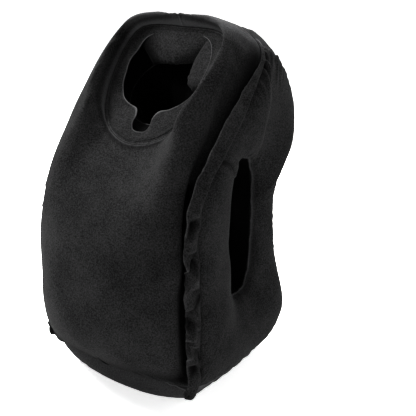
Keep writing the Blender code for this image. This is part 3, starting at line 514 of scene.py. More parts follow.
tunnel = {
    "y": 0.041, "z": 0.238, "halfWidth": 0.035, "halfHeight": 0.103, "power": 3.2,
    "lean": 0.04, "mouthX": 0.118, "sheet": 0.0006,
    "around": 220, "along": 90, "puff": 0.0035, "wrinkle": 0.0006,
    # the last value is a painted highlight on the arm's beads
    "cutLevels": (0.295, 0.37), "beadAround": 300, "beadTurns": 14, "beadHighlight": 0.40,
}


def lobeReach(turn):
    # rounded bumps with a crease between neighbours
    starts = [start for start, _ in duct["lobes"]] + [1.0 + duct["lobes"][0][0]]
    depth = np.zeros_like(turn)
    for (start, stand), end in zip(duct["lobes"], starts[1:]):
        inside = (turn >= start) & (turn < end)
        share = 2.0 * (turn - start) / (end - start) - 1.0
        depth = np.where(inside, stand * (0.35 + 0.65 * crown(share, 2.2)), depth)
    return depth


def tunnelSection(angle, grow=0.0):
    # oblong |y/a|^p + |z/b|^p = 1; angle 0 points back and a quarter turn points up
    turnY, turnZ = np.cos(angle), np.sin(angle)
    reach = (np.abs(turnY) ** tunnel["power"]
             + np.abs(turnZ) ** tunnel["power"]) ** (-1.0 / tunnel["power"])
    rise = (tunnel["halfHeight"] + grow) * turnZ * reach
    y = tunnel["y"] + (tunnel["halfWidth"] + grow) * turnY * reach + tunnel["lean"] * rise
    return y, tunnel["z"] + rise


def tunnelCeiling(across, grow=0.0):
    wide, high = tunnel["halfWidth"] + grow, tunnel["halfHeight"] + grow
    z = tunnel["z"] + high * (1.0 - np.abs(across / wide) ** tunnel["power"]) \
        ** (1.0 / tunnel["power"])
    return tunnel["y"] + across + tunnel["lean"] * (z - tunnel["z"]), z


def ovalAt(count):
    angle = np.linspace(0.0, 2 * pi, count, endpoint=False) - pi / 2
    return angle, duct["halfWidth"] * np.cos(angle), duct["halfLength"] * np.sin(angle)


def makeFaceSleeve():
    # from the plate's outline down to the divider's oval, standing in toward the middle
    # by the lobes' reach times a half sine of the depth; painted shade darkens it low down,
    # and on the left and by the chin
    count = duct["around"]
    top = widened(plateLoop(facePlate["outline"], count), -facePlate["weldWidth"] / 2)
    topX, topS, topH = plateToSeam(top, -facePlate["thickness"] / 2 - seam["gap"])
    _, ovalX, ovalS = ovalAt(count)
    share = np.linspace(0.0, 1.0, duct["rows"])[None, :]
    x = topX[:, None] + (ovalX - topX)[:, None] * share
    s = topS[:, None] + (duct["middleAt"] + ovalS - topS)[:, None] * share
    h = topH[:, None] + (0.0012 - topH)[:, None] * share
    turn = np.linspace(0.0, 1.0, count, endpoint=False)
    stand = lobeReach(turn)[:, None] * np.sin(pi * share) ** 0.62
    towardX, towardS = -x, duct["middleAt"] - s
    size = np.hypot(towardX, towardS)
    ripple = duct["wrinkle"] * wander(turn * 0.5, 21, 0.010, 0.03)[:, None] * np.sin(pi * share)
    x = x + towardX / size * (stand + ripple)
    s = s + towardS / size * (stand + ripple)
    # painted shade on the left wall, by the chin, and low down in the opening
    left = np.clip(ramp(0.57, 0.65, turn) + 1.0 - ramp(0.22, 0.27, turn), 0.0, 1.0)[:, None]
    deep = np.maximum(ramp(0.70, 0.95, share), left * ramp(0.0, 0.03, share))
    return sheetPiece("faceSleeve", onSeam(x, s, h), tunnel["sheet"], closed=True, deep=deep)


def makeFaceDuct():
    # straight lines from the divider's oval to the opening in the tunnel's top, puffed inward
    count = duct["around"]
    angle, ovalX, ovalS = ovalAt(count)
    top = onSeam(ovalX, duct["middleAt"] + ovalS, -0.0006)
    endY, endZ = tunnelCeiling(duct["endHalfDepth"] * np.sin(angle), tunnel["sheet"])
    end = np.stack([duct["endHalfWidth"] * np.cos(angle), endY, endZ + 0.0006], axis=1)
    share = np.linspace(0.0, 1.0, duct["ductRows"])[None, :, None]
    grid = top[:, None, :] + (end - top)[:, None, :] * share
    middle = grid.mean(axis=0, keepdims=True)
    toward = middle - grid
    toward /= np.linalg.norm(toward, axis=2)[..., None]
    ripple = duct["wrinkle"] * wander(angle * 0.05, 23, 0.012, 0.04)[:, None, None]
    puff = (duct["ductPuff"] + ripple) * np.sin(pi * share)
    # painted shade over the whole duct
    return sheetPiece("faceDuct", grid + toward * puff, tunnel["sheet"], closed=True,
                      deep=np.ones(share.shape[:2]))


def makeTunnelSleeve():
    # the oblong from one mouth to the other, puffed in between its ends
    angle = np.linspace(0.0, 2 * pi, tunnel["around"], endpoint=False)
    end = tunnel["mouthX"] - seam["weld"] / 2 - seam["gap"]
    along = np.linspace(-end, end, tunnel["along"])[None, :]
    rounded = quarter(np.minimum(1.0, (end - np.abs(along)) / 0.045))
    wrinkle = tunnel["wrinkle"] * wanderOver(angle[:, None] * 0.06, along, 31, 0.015, 0.06)
    grow = -(tunnel["puff"] + wrinkle) * rounded
    y, z = tunnelSection(angle[:, None], grow)
    grid = np.stack(np.broadcast_arrays(along, y, z), axis=-1)
    # painted shade over the whole sleeve, fading out only at the mouths
    deep = ramp(0.0, 0.003, end - np.abs(along)) + 0 * angle[:, None]
    sleeve = sheetPiece("tunnelSleeve", grid[::-1], tunnel["sheet"], closed=True, deep=deep)
    turn = np.linspace(0.0, 2 * pi, 72, endpoint=False)
    ring = np.stack([(duct["endHalfWidth"] - 0.001) * np.cos(turn),
                     tunnel["y"] + tunnel["lean"] * tunnel["halfHeight"]
                     + (duct["endHalfDepth"] - 0.001) * np.sin(turn)], axis=1)
    cutter = bpy.data.objects.new("cutter", prismMesh("cutter", ring, *tunnel["cutLevels"]))
    bpy.context.scene.collection.objects.link(cutter)
    cutBy(sleeve, cutter)
    return sleeve


def makeArmRim(side):
    # bead with a round section along the tunnel's mouth
    angle = np.linspace(0.0, 2 * pi, tunnel["beadAround"], endpoint=False)
    turn = np.linspace(0.0, 2 * pi, tunnel["beadTurns"], endpoint=False)[None, :]
    ripple = 0.0004 * wander(angle[:, None] * 0.06, 33 + side, 0.01, 0.03)
    y, z = tunnelSection(angle[:, None], -0.0004 + 0.0021 * np.cos(turn) + ripple)
    x = side * (tunnel["mouthX"] + 0.0011 * np.sin(turn) + ripple)
    name = "armRimRight" if side > 0 else "armRimLeft"
    # the whole bead's pile painted paler: a painted highlight
    return ringPiece(name, np.stack(np.broadcast_arrays(x, y, z), axis=-1),
                     np.broadcast_to(tunnel["beadHighlight"], (len(angle), turn.size)))


fit(makeFaceSleeve(), "flocked_sheet", "face_sleeve")
fit(makeFaceDuct(), "flocked_sheet", "face_duct")
fit(makeTunnelSleeve(), "flocked_sheet", "tunnel_sleeve")
fit(makeArmRim(1), "flocked_sheet", "arm_weld_right")
fit(makeArmRim(-1), "flocked_sheet", "arm_weld_left")
print("openings lined")


# back of the ring of air

back = {
    # side view (y, z), from the head seam round to the foot seam
    "line": ((0.136, 0.470), (0.158, 0.446), (0.170, 0.408), (0.165, 0.366), (0.145, 0.334),
             (0.125, 0.305), (0.117, 0.262), (0.120, 0.200), (0.130, 0.140), (0.144, 0.092),
             (0.138, 0.054), (0.100, 0.036), (0.015, 0.030), (-0.055, 0.037)),
    "halfWidth": 0.128, "blend": 0.060, "lobeCrown": 0.026, "waistCrown": 0.022,
    "baseCrown": 0.044, "headRound": 0.045, "footRound": 0.030, "sheet": 0.0006,
    "rows": 330, "across": 110, "pucker": 0.0012, "soft": 0.0010,
    # the last value is a painted highlight over the base roll
    "webX": 0.047, "webDip": 0.0022, "valveAt": 0.515, "valveHole": 0.0127, "baseHighlight": 0.35,
}


def backLine(share):
    head = onSeam(0.0, headJoin, behindSeam)[1:]
    foot = onSeam(0.0, footJoin, behindSeam)[1:]
    line = evenly(through(np.vstack([head, back["line"], foot]), 12), 241)
    length = np.linspace(0.0, 1.0, len(line))
    ahead = np.gradient(line, axis=0)
    ahead /= np.linalg.norm(ahead, axis=1)[:, None]
    y, z, aheadY, aheadZ = (np.interp(share, length, column)
                            for column in (line[:, 0], line[:, 1], ahead[:, 0], ahead[:, 1]))
    return y, z, -aheadZ, aheadY


lineY, lineZ, _, _ = backLine(np.linspace(0.0, 1.0, 400))
backLength = float(np.hypot(np.diff(lineY), np.diff(lineZ)).sum())


def backWidth(share):
    head = 1.0 - ramp(0.0, 0.25, share)
    foot = ramp(0.75, 1.0, share)
    return back["halfWidth"] + (joinHeadX - back["halfWidth"]) * head \
        + (joinFootX - back["halfWidth"]) * foot


def backSurface(across, share, lift=0.0):
    # the side view's line moved out by the crown; both ends follow the seam's rounded corners
    y, z, outY, outZ = backLine(share)
    x = across * (backWidth(share) + behindSeam)
    depth = blend(back["lobeCrown"], back["waistCrown"], ramp(0.20, 0.40, share)) \
        + (back["baseCrown"] - back["waistCrown"]) * ramp(0.55, 0.75, share)
    ends = quarter(share * backLength / back["headRound"]) \
        * quarter((1.0 - share) * backLength / back["footRound"])
    bulge = depth * ends * crown(across, 2.0) + lift
    nearHead = 1.0 - ramp(0.0, back["blend"] / backLength, share)
    nearFoot = 1.0 - ramp(0.0, back["blend"] / backLength, 1.0 - share)
    headY, headZ, _, _ = seamLine(seamLength - endEdge(x, seam["headHalf"], seam["headCorner"]))
    joinY, joinZ, _, _ = seamLine(np.asarray(headJoin))
    footAt = endEdge(x, seam["bellyHalf"], seam["footCorner"])
    y = y + outY * bulge + nearHead * (headY - joinY)
    z = z + outZ * bulge + nearHead * (headZ - joinZ) + nearFoot * (footAt - footJoin)
    return np.stack(np.broadcast_arrays(x, y, np.maximum(z, 0.0)), axis=-1)


def valvePlace():
    # on the back's surface, Z outward and Y up along it
    here, ahead = (backSurface(np.zeros(1), np.array([share]))[0]
                   for share in (back["valveAt"], back["valveAt"] + 0.002))
    down = Vector(ahead - here).normalized()
    outward = down.cross(Vector((1.0, 0.0, 0.0))).normalized()
    if outward.y < 0:
        outward.negate()
    place = Matrix(((-down).cross(outward), -down, outward)).transposed().to_4x4()
    place.translation = Vector(here)
    return place


def makeBackPanel():
    across = np.sin(np.linspace(-pi / 2, pi / 2, back["across"]))[None, :]
    share = np.linspace(0.0, 1.0, back["rows"])[:, None]
    length = share * backLength
    x = across * backWidth(share)
    near = backWidth(share) - np.abs(x)
    waist = hump(share, 0.36, 0.07) + 0.7 * hump(share, 0.10, 0.08) + 0.5 * hump(share, 0.80, 0.05)
    pinch = ramp(0.0, 0.005, near) * np.exp(-(near / 0.020) ** 2)
    pucker = back["pucker"] * (0.45 + 1.5 * waist) * pinch \
        * wander(length + 0.3 * near + np.sign(across), 41, 0.010, 0.030)
    soft = back["soft"] * wanderOver(x, length, 42, 0.06, 0.14) * ramp(0.0, 0.02, near)
    ends = hump(length, 0.0, 0.030) + hump(length, backLength, 0.03)
    gather = 0.0005 * wander(x, 43, 0.014, 0.040) * ends * ramp(0.0, 0.006, length) \
        * ramp(0.0, 0.006, backLength - length)
    dip = -back["webDip"] * sum(hump(np.abs(x), back["webX"], 0.007)
                                * hump(share, middle, 0.035) for middle in (0.455, 0.48))
    clear = 1.0 - hump(share, back["valveAt"], 0.018) * hump(x, 0.0, 0.030)
    onFloor = ramp(0.0, 0.012, backSurface(across, share)[..., 2])
    grid = backSurface(across, share, (pucker + soft + gather + dip) * clear * onFloor)
    # paler pile along the side welds, partly wear and partly painted highlight, and a painted
    # highlight over the base roll
    rim = 0.4 * np.exp(-(near / 0.0025) ** 2) + back["baseHighlight"] * ramp(0.88, 0.96, share)
    panel = sheetPiece("backPanel", grid[:, ::-1], back["sheet"], rim=rim[:, ::-1])
    bpy.ops.mesh.primitive_cylinder_add(vertices=64, radius=back["valveHole"], depth=0.04)
    cutter = bpy.context.object
    cutter.matrix_world = valvePlace()
    bpy.context.view_layer.update()
    cutBy(panel, cutter)
    return panel


backPanel = fit(makeBackPanel(), "flocked_sheet", "back_panel")
print("back panel made")


# gussets: the side walls, from the seams to the tunnel's mouth

gusset = {
    "sheet": 0.0006, "bulgeShare": 0.26, "bulgeMost": 0.026,
    "frontRows": 190, "backRows": 330, "columns": 66,
    "pucker": 0.0008, "gather": 0.0052, "gatherReach": 0.020, "soft": 0.0010,
    "crease": 0.0042,
}


def gussetEdge():
    # closed line round the right side, up the front seam and down the back, with the share
    # of each and how far along the head end each point lies
    s = np.linspace(footJoin, headJoin, gusset["frontRows"])
    front = onSeam(seamWidth(s), s, behindSeam)
    share = np.linspace(0.0, 1.0, gusset["backRows"] + 2)[1:-1]
    y, z, outY, outZ = backLine(share)
    rear = np.stack([backWidth(share), y + outY * behindSeam, z + outZ * behindSeam], axis=1)
    fromHead = np.concatenate([s - headJoin, share * backLength])
    return np.vstack([front, rear]), fromHead


def distanceTo(y, z, points):
    # distance in side view from a short curve, with the side of it each point is on
    curve = through(points, 12)
    gapY, gapZ = y[..., None] - curve[:, 0], z[..., None] - curve[:, 1]
    nearest = np.hypot(gapY, gapZ).argmin(-1)
    ahead = np.gradient(curve, axis=0)[nearest]
    offY = y - curve[nearest, 0]
    offZ = z - curve[nearest, 1]
    side = np.sign(ahead[..., 0] * offZ - ahead[..., 1] * offY)
    return np.hypot(offY, offZ), side


def makeGusset(side):
    # lines from the edge to the mouth, bulged out by a half sine; gathers, puckers and a
    # crease are added along the normal
    edge, fromHead = gussetEdge()
    angle = np.arctan2((edge[:, 2] - tunnel["z"]) / tunnel["halfHeight"],
                       (edge[:, 1] - tunnel["y"]) / tunnel["halfWidth"])
    mouthY, mouthZ = tunnelSection(angle)
    mouthX = np.full_like(mouthY, tunnel["mouthX"] - behindSeam)
    mouth = np.stack([mouthX, mouthY, mouthZ], axis=1)
    turn = np.linspace(0.0, pi, gusset["columns"])
    share = ((1.0 - np.cos(turn)) / 2.0)[None, :, None]
    grid = edge[:, None, :] + (mouth - edge)[:, None, :] * share
    wall = np.linalg.norm((mouth - edge)[:, 1:], axis=1)
    bulge = gusset["bulgeMost"] * np.tanh(gusset["bulgeShare"] * wall / gusset["bulgeMost"])
    bulge = smoothedAround(bulge[:, None], 4)
    grid[:, :, 0] += bulge * np.sin(turn)[None, :]
    step = np.linalg.norm(np.diff(grid, axis=1), axis=2)
    inside = np.concatenate([np.zeros((len(grid), 1)), np.cumsum(step, axis=1)], axis=1)
    toMouth = inside[:, -1:] - inside
    place = fromHead[:, None]
    seed = 51 if side > 0 else 52
    atHead = hump(place, 0.005, 0.055)
    atWaist = hump(place, 0.205, 0.055) * (place > 0)
    atFoot = hump(place, backLength, 0.05) + hump(place, footJoin - headJoin, 0.04)
    ridge = wander(place + 0.25 * inside * np.sign(place), seed, 0.008, 0.017, 7)
    sharp = np.sign(ridge) * np.abs(ridge) ** 0.7
    lead = ramp(0.0, 0.004, inside)
    gather = gusset["gather"] * atHead * lead * np.exp(-(inside / gusset["gatherReach"]) ** 1.4) \
        * sharp
    long = 0.18 * gusset["gather"] * hump(place, -0.012, 0.022) * lead \
        * np.exp(-(inside / 0.060) ** 2) * wander(place, seed + 3, 0.013, 0.02, 4)
    pucker = gusset["pucker"] * (0.6 + 1.6 * atWaist + 0.8 * atFoot) * lead \
        * np.exp(-(inside / 0.016) ** 1.6) * wander(place + 0.2 * inside, seed + 5, 0.009, 0.026)
    soft = gusset["soft"] * wanderOver(grid[..., 1], grid[..., 2], seed + 7, 0.05, 0.12) \
        * ramp(0.0, 0.02, inside) * ramp(0.0, 0.02, toMouth)
    rimWave = 0.0006 * wander(angle[:, None] * 0.06, seed + 9, 0.012, 0.04) \
        * hump(toMouth, 0.008, 0.008)
    away, which = distanceTo(grid[..., 1], grid[..., 2],
                             ((-0.050, 0.352), (-0.031, 0.357), (-0.010, 0.347), (0.006, 0.330)))
    crease = gusset["crease"] * (-hump(away, 0.0, 0.0028)
                                 + 0.6 * (which > 0) * hump(away, 0.008, 0.007))
    normal = normalsOf(grid, True)
    normal *= np.sign(normal[..., :1].sum())
    lift = gather + long + pucker + soft + rimWave + crease
    grid = grid + normal * lift[..., None]
    # paler pile at the seam and the mouth, partly wear and partly painted highlight, with painted
    # highlight on the gathers' crests
    rim = 0.45 * np.exp(-(inside / 0.0030) ** 2) + 0.5 * np.exp(-(toMouth / 0.0035) ** 2) \
        + 0.10 * atHead * np.exp(-(inside / 0.04) ** 2) * np.clip(sharp, 0, 1)
    # painted shade in the crease and in the gathers' troughs
    deep = 0.75 * hump(away, 0.0, 0.0016) + 0.6 * atHead * np.exp(
        -(inside / 0.022) ** 2) * np.clip(-sharp, 0.0, 1.0)
    return sidedPiece("gusset", side, grid, gusset["sheet"], rim, deep, closed=True)


for side, node in ((1, "right_side_panel"), (-1, "left_side_panel")):
    fit(makeGusset(side), "flocked_sheet", node)
print("gussets made")


# seam flanges: the welded edges that stand out from the seams

flange = {
    "thickness": 0.0012, "inset": 0.002, "columns": 26, "rows": 560,
    # along the seam: where, how far out the fold lies, how far forward the free edge stands,
    # how far out the free edge lies
    "shape": ((0.0, 0.0070, 0.025, 0.002), (0.10, 0.0065, 0.026, 0.001),
              (0.21, 0.0070, 0.025, 0.001), (0.26, 0.0100, 0.022, 0.004),
              (0.32, 0.0140, 0.017, 0.004), (0.40, 0.0140, 0.016, 0.003),
              (0.45, 0.0080, 0.011, 0.002), (0.49, 0.0035, 0.005, 0.001),
              (0.54, 0.0030, 0.003, 0.001)),
    # the left one is folded back over its gusset instead
    "backShape": ((0.0, 0.0110, 0.004, 0.013), (0.03, 0.0060, -0.008, 0.010),
                  (0.30, 0.0055, -0.010, 0.010), (0.54, 0.0030, -0.004, 0.004)),
    "foldLength": 0.064, "foldDepth": 0.0062, "slopeFoldDepth": 0.0014,
    "endWidth": 0.006, "endLean": 0.45, "headWidth": 0.0045, "headLean": -0.5,
}


def makeSideFlange(side):
    # a strip that leaves the seam outward, turns over a soft fold and stands forward:
    # a cubic curve across, carried along the seam, with slanting folds in the standing part
    overhang = 0.006
    s = np.linspace(footJoin - overhang, headJoin, flange["rows"])[:, None]
    a = np.linspace(0.0, 1.0, flange["columns"])[None, :]
    where, out, forward, free = np.array(flange["shape" if side > 0 else "backShape"]).T
    out, forward, free = (np.interp(s, where, column) for column in (out, forward, free))
    width = seamWidth(np.maximum(s, footJoin))
    seed = 61 if side > 0 else 71
    lower = 1.0 - ramp(0.235, 0.275, s)
    zigzag = folds(s + 0.075 * a, seed, flange["foldLength"])
    second = folds(s - 0.052 * a, seed + 1, flange["foldLength"] * 0.66)
    crumple = folds(s + 0.028 * a + 0.006 * second, seed + 3, flange["foldLength"] * 0.36)
    depth = flange["foldDepth"] * lower + flange["slopeFoldDepth"] * (1.0 - lower)
    uneven = np.clip(0.75 + 0.55 * wander(s, seed + 2, 0.05, 0.12), 0.15, 1.6)
    depth = depth * uneven * (1.0 if side > 0 else 0.4)
    bridge = hump(s, 0.262, 0.030)
    forward = forward * (1.0 + 0.20 * lower * zigzag + 0.10 * bridge * second)
    wide = ramp(0.15, 0.80, a)
    corners = ((width - 0.003, 0.0009), (width + out * 1.5 + 0.001, -0.0006),
               (width + out * 1.4 + 0.001, 0.30 * forward), (width + free, forward))
    weights = ((1 - a) ** 3, 3 * a * (1 - a) ** 2, 3 * a * a * (1 - a), a ** 3)
    x = sum(w * point[0] for w, point in zip(weights, corners))
    h = sum(w * point[1] for w, point in zip(weights, corners))
    x = x + depth * (0.8 * zigzag + 0.6 * second + 0.35 * crumple) * wide \
        + 0.0025 * bridge * second * wide
    h = h + 0.0022 * lower * (second + 0.6 * crumple) * ramp(0.1, 0.5, a)
    x = np.maximum(x, width - 0.0055 + 0.003 * a)
    grid = onSeam(x, s, h + seam["weld"] / 2)
    # paler free edge, partly wear and partly painted highlight, and painted highlight on the
    # folds' crests
    ridge = np.clip(np.maximum(zigzag, second), 0, 1) ** 8 * lower * ramp(0.2, 0.5, a)
    rim = 0.30 * np.exp(-((a - 1.0) / 0.04) ** 2) + 0.55 * ridge
    # painted shade in the folds' troughs
    deep = 0.85 * np.clip(-0.8 * (zigzag + 0.7 * second + 0.4 * crumple), 0.0, 1.0) * lower \
        * ramp(0.1, 0.4, a)
    return sidedPiece("seamFlange", side, grid, flange["thickness"], np.clip(rim, 0, 1), deep)


def makeEndFlange(head):
    # a narrow strip across the foot or the head, leaning forward, with a slightly wavy edge
    limit = joinHeadX if head else joinFootX
    x = np.linspace(-limit, limit, 260)[:, None]
    a = np.linspace(0.0, 1.0, 10)[None, :]
    half, radius = (seam["headHalf"], seam["headCorner"]) if head \
        else (seam["bellyHalf"], seam["footCorner"])
    back_ = endEdge(x, half, radius)
    past = np.clip((np.abs(x) - (half - radius)) / radius, 0.0, 1.0)
    reach = -flange["inset"] + (flange["inset"] + flange["headWidth" if head else "endWidth"]) * a
    wave = 0.0010 * wander(x, 81 + head, 0.012, 0.034) * a
    s = back_ - reach * np.sqrt(1.0 - past ** 2)
    s = seamLength - s if head else s
    out = x + np.sign(x) * reach * past
    lean = flange["headLean" if head else "endLean"]
    h = lean * np.maximum(reach - 0.001, 0.0) + wave + seam["weld"] / 2
    # paler pile along the free edge: partly wear, partly painted highlight
    rim = np.exp(-((a - 1.0) / 0.15) ** 2) + 0 * x
    grid = onSeam(out, s, h)
    return sheetPiece("seamFlangeTop" if head else "seamFlangeBottom",
                      grid if head else grid[::-1], flange["thickness"], rim=rim)


def makeBackSeam(side):
    # thin strip along the weld between a gusset and the back panel
    share = np.linspace(0.004, 0.996, 420)[:, None]
    a = np.linspace(0.0, 1.0, 6)[None, :]
    y, z, outY, outZ = backLine(share)
    ripple = 0.0008 * wander(share * backLength, 91 + side, 0.012, 0.03) * a
    reach = -0.0006 + 0.0042 * a
    x = side * (backWidth(share) + seam["weld"] / 2 + ripple)
    grid = np.stack(np.broadcast_arrays(x, y + outY * reach,
                                        np.maximum(z + outZ * reach, 0.0004)), axis=-1)
    # paler pile along the free edge: partly wear, partly painted highlight
    rim = np.exp(-((a - 1.0) / 0.3) ** 2) + 0 * share
    return sheetPiece("backSeamRight" if side > 0 else "backSeamLeft", grid, flange["thickness"],
                      rim=rim, inward=np.array((-side * flange["thickness"], 0.0, 0.0)))


for side, word in ((1, "right"), (-1, "left")):
    fit(makeSideFlange(side), "flocked_sheet", "seam_flange_" + word)
    fit(makeBackSeam(side), "flocked_sheet", "back_seam_" + word)
fit(makeEndFlange(1), "flocked_sheet", "seam_flange_top")
fit(makeEndFlange(0), "flocked_sheet", "seam_flange_bottom")
print("seam flanges made")


# materials

class Value:
    # a shader socket that can stand in sums and products
    def __init__(self, look, socket):
        self.look, self.socket = look, socket

    def __add__(self, other):
        return self.look.sum("ADD", self, other)

    def __sub__(self, other):
        return self.look.sum("SUBTRACT", self, other)

    def __rsub__(self, other):
        return self.look.sum("SUBTRACT", other, self)

    def __mul__(self, other):
        return self.look.sum("MULTIPLY", self, other)

    __radd__, __rmul__ = __add__, __mul__


class Look:
    def __init__(self, name):
        self.material = bpy.data.materials.new(name)
        self.material.use_nodes = True
        self.tree = self.material.node_tree
        self.shader = self.tree.nodes["Principled BSDF"]
        self.place = self.node("ShaderNodeTexCoord", out="Object")

    def plug(self, socket, value):
        if isinstance(value, Value):
            self.tree.links.new(value.socket, socket)
        elif value is not None:
            socket.default_value = value

    def node(self, kind, settings=None, inputs=None, out=0):
        made = self.tree.nodes.new(kind)
        for key, value in (settings or {}).items():
            if key == "stops":
                made.color_ramp.elements[0].position, made.color_ramp.elements[1].position = \
                    value[0][0], value[1][0]
                for element, (_, tone) in zip(made.color_ramp.elements, value):
                    element.color = (tone, tone, tone, 1.0)
            else:
                setattr(made, key, value)
        for key, value in (inputs or {}).items():
            self.plug(made.inputs[key], value)
        return Value(self, made.outputs[out])

    def sum(self, operation, a, b):
        return self.node("ShaderNodeMath", {"operation": operation}, {0: a, 1: b})

    def noise(self, scale, detail=2.0, roughness=0.5):
        return self.node("ShaderNodeTexNoise", None, {"Vector": self.place, "Scale": scale,
                                                      "Detail": detail, "Roughness": roughness})

    def ramp(self, value, low, high):
        return self.node("ShaderNodeMapRange", {"clamp": True},
                         {"Value": value, "From Min": low, "From Max": high})

    def between(self, share, first, second):
        return self.node("ShaderNodeMix", {"data_type": "RGBA"},
                         {0: share, 6: (*first, 1.0) if isinstance(first, tuple) else first,
                          7: (*second, 1.0) if isinstance(second, tuple) else second}, out=2)

    def finish(self, colour, roughness, height=None, depth=0.001, constants=None, strength=1.0):
        self.plug(self.shader.inputs["Base Color"], colour)
        self.plug(self.shader.inputs["Roughness"], roughness)
        if height is not None:
            bump = self.node("ShaderNodeBump", None,
                             {"Height": height, "Distance": depth, "Strength": strength})
            self.plug(self.shader.inputs["Normal"], bump)
        for key, value in (constants or {}).items():
            self.shader.inputs[key].default_value = value
        return self.material


flock = {
    "dark": (0.0100, 0.0100, 0.0102), "light": (0.0480, 0.0480, 0.0485),
    # the third colour is paler pile, partly wear and partly painted highlight; the fourth is
    # painted shade
    "rim": (0.105, 0.105, 0.107), "deep": (0.0016, 0.0016, 0.0017),
    "fibreScale": 2400.0, "clumpScale": 520.0, "patchScale": 16.0,
    "fibreDepth": 0.00045, "sheen": 0.03, "sheenRoughness": 0.45,
}


def flockedSheet():
    # short black pile: fibre grain, clumps where it lies differently, brushed patches, paler
    # worn pile with painted highlight along edges, welds and crests, and painted shade in the
    # openings, valleys, creases and folds
    look = Look("flockedSheet")
    fibre = look.noise(flock["fibreScale"], 1.0)
    clump = look.noise(flock["clumpScale"], 3.0, 0.65)
    patch = look.noise(flock["patchScale"], 4.0, 0.6)
    edge = look.node("ShaderNodeAttribute", {"attribute_name": "rim"}, out="Fac")
    tone = look.ramp(clump * 0.60 + fibre * 0.25 + patch * 0.25, 0.44, 0.68)
    pile = look.between(tone, flock["dark"], flock["light"])
    # paler edge tone: partly worn pile, partly painted highlight
    wornAndLit = look.ramp(edge * (clump + 0.55), 0.10, 1.0)
    # painted shade: darkens the pile in the openings, valleys, creases and folds
    inside = look.node("ShaderNodeAttribute", {"attribute_name": "deep"}, out="Fac")
    colour = look.between(inside, look.between(wornAndLit, pile, flock["rim"]), flock["deep"])
    roughness = 0.97 - edge * 0.12 - patch * 0.04
    height = fibre * 0.5 + clump * 1.0
    return look.finish(colour, roughness, height, flock["fibreDepth"], {
        "Sheen Weight": flock["sheen"], "Sheen Roughness": flock["sheenRoughness"],
        "Specular IOR Level": 0.05})


def plainSheet():
    # the unflocked inner side: smooth calendered film with a faint leather grain
    look = Look("plainSheet")
    grain = look.node("ShaderNodeTexVoronoi", None, {"Vector": look.place, "Scale": 900.0})
    haze = look.noise(40.0, 4.0)
    colour = look.between(haze, (0.004, 0.004, 0.004), (0.010, 0.010, 0.010))
    return look.finish(colour, 0.42 + haze * 0.2, grain, 0.0002)


def mouldedPlastic():
    # soft dark valve plastic: fine spark-eroded grain and faint handling wear
    look = Look("valvePlastic")
    grain = look.noise(2600.0, 2.0)
    wear = look.noise(160.0, 5.0, 0.7)
    colour = look.between(look.ramp(wear, 0.45, 0.75), (0.020, 0.020, 0.021),
                          (0.042, 0.042, 0.044))
    return look.finish(colour, 0.34 + wear * 0.22, grain, 0.00008,
                       {"Coat Weight": 0.06, "Coat Roughness": 0.35})


def valveRubber():
    look = Look("valveRubber")
    dust = look.noise(300.0, 5.0, 0.7)
    colour = look.between(dust, (0.030, 0.030, 0.032), (0.060, 0.060, 0.064))
    return look.finish(colour, 0.50 + dust * 0.25, dust, 0.0001)


def wear(thing, material):
    # shown pieces get the material on their own slots; a CAD mesh keeps its shape
    if not thing.data.materials:
        thing.data.materials.append(material)
    for slot in thing.material_slots:
        slot.material = material


flocked, plain, plastic, rubber = flockedSheet(), plainSheet(), mouldedPlastic(), valveRubber()
nodeLooks = {"valve_base": plastic, "valve_plug": plastic, "valve_cap": plastic,
             "check_flap": rubber}
for thing in list(bpy.context.scene.objects):
    if thing.type != "MESH":
        continue
    if "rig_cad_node" in thing:
        wear(thing, nodeLooks.get(thing["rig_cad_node"], plain))
    else:
        wear(thing, flocked)
print("materials made")


# floor, light and camera

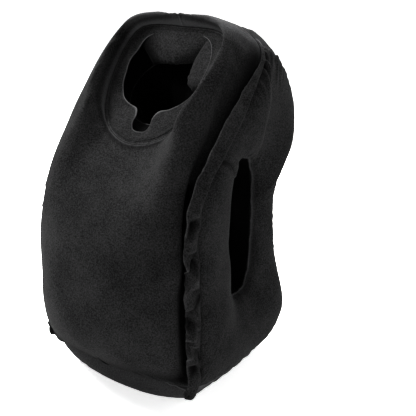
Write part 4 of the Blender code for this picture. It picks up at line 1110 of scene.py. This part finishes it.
studio = {
    "azimuth": radians(38.0), "elevation": radians(20.0), "distance": 1.2,
    "aim": (0.0, 0.03, 0.24), "yaw": radians(34.954), "pitch": radians(19.740),
    "focal": 69.23, "sensor": 36.0,
    "world": 0.30, "floorTone": 0.90, "floorGlow": 0.74, "gamma": 0.67,
    "floorRadius": 30.0, "wallHeight": 8.0,
    # area lights: place, aim, size, power
    "lights": (((-0.96, -0.32, 1.45), (0.0, 0.0, 0.25), 0.55, 60.0),
               ((-0.1, 0.75, 1.5), (0.0, 0.05, 0.40), 0.7, 52.0),
               ((1.5, 0.0, 1.1), (0.0, 0.05, 0.3), 0.7, 6.0)),
}


def makeStudio():
    turn = np.linspace(0.0, 2 * pi, 64, endpoint=False)
    ring = studio["floorRadius"] * np.stack([np.cos(turn), np.sin(turn)], axis=1)
    mesh = prismMesh("floor", ring, 0.0, studio["wallHeight"], lid=False)
    floor = bpy.data.objects.new("floor", mesh)
    floor.location.z = -0.0004
    bpy.context.scene.collection.objects.link(floor)
    look = Look("floor")
    tone = studio["floorTone"]
    mesh.materials.append(look.finish((tone, tone, tone, 1.0), 0.9, constants={
        "Emission Color": (1.0, 1.0, 1.0, 1.0), "Emission Strength": studio["floorGlow"]}))
    world = bpy.data.worlds.new("studio")
    world.use_nodes = True
    ground = world.node_tree.nodes["Background"]
    ground.inputs["Color"].default_value = (1.0, 1.0, 1.0, 1.0)
    ground.inputs["Strength"].default_value = studio["world"]
    bpy.context.scene.world = world
    for place, aim, size, power in studio["lights"]:
        data = bpy.data.lights.new("softbox", "AREA")
        data.size, data.energy = size, power
        lamp = bpy.data.objects.new("softbox", data)
        lamp.location = place
        lamp.rotation_euler = (Vector(aim) - Vector(place)).to_track_quat("-Z", "Y").to_euler()
        bpy.context.scene.collection.objects.link(lamp)
    a, e = studio["azimuth"], studio["elevation"]
    away = Vector((sin(a) * cos(e), -cos(a) * cos(e), sin(e)))
    data = bpy.data.cameras.new("camera")
    data.lens, data.sensor_width = studio["focal"], studio["sensor"]
    camera = bpy.data.objects.new("camera", data)
    camera.location = Vector(studio["aim"]) + away * studio["distance"]
    camera.rotation_euler = (pi / 2 - studio["pitch"], 0.0, studio["yaw"])
    bpy.context.scene.collection.objects.link(camera)
    bpy.context.scene.camera = camera


makeStudio()
bpy.context.scene.view_settings.view_transform = "Standard"
bpy.context.scene.view_settings.gamma = studio["gamma"]
print("studio made")
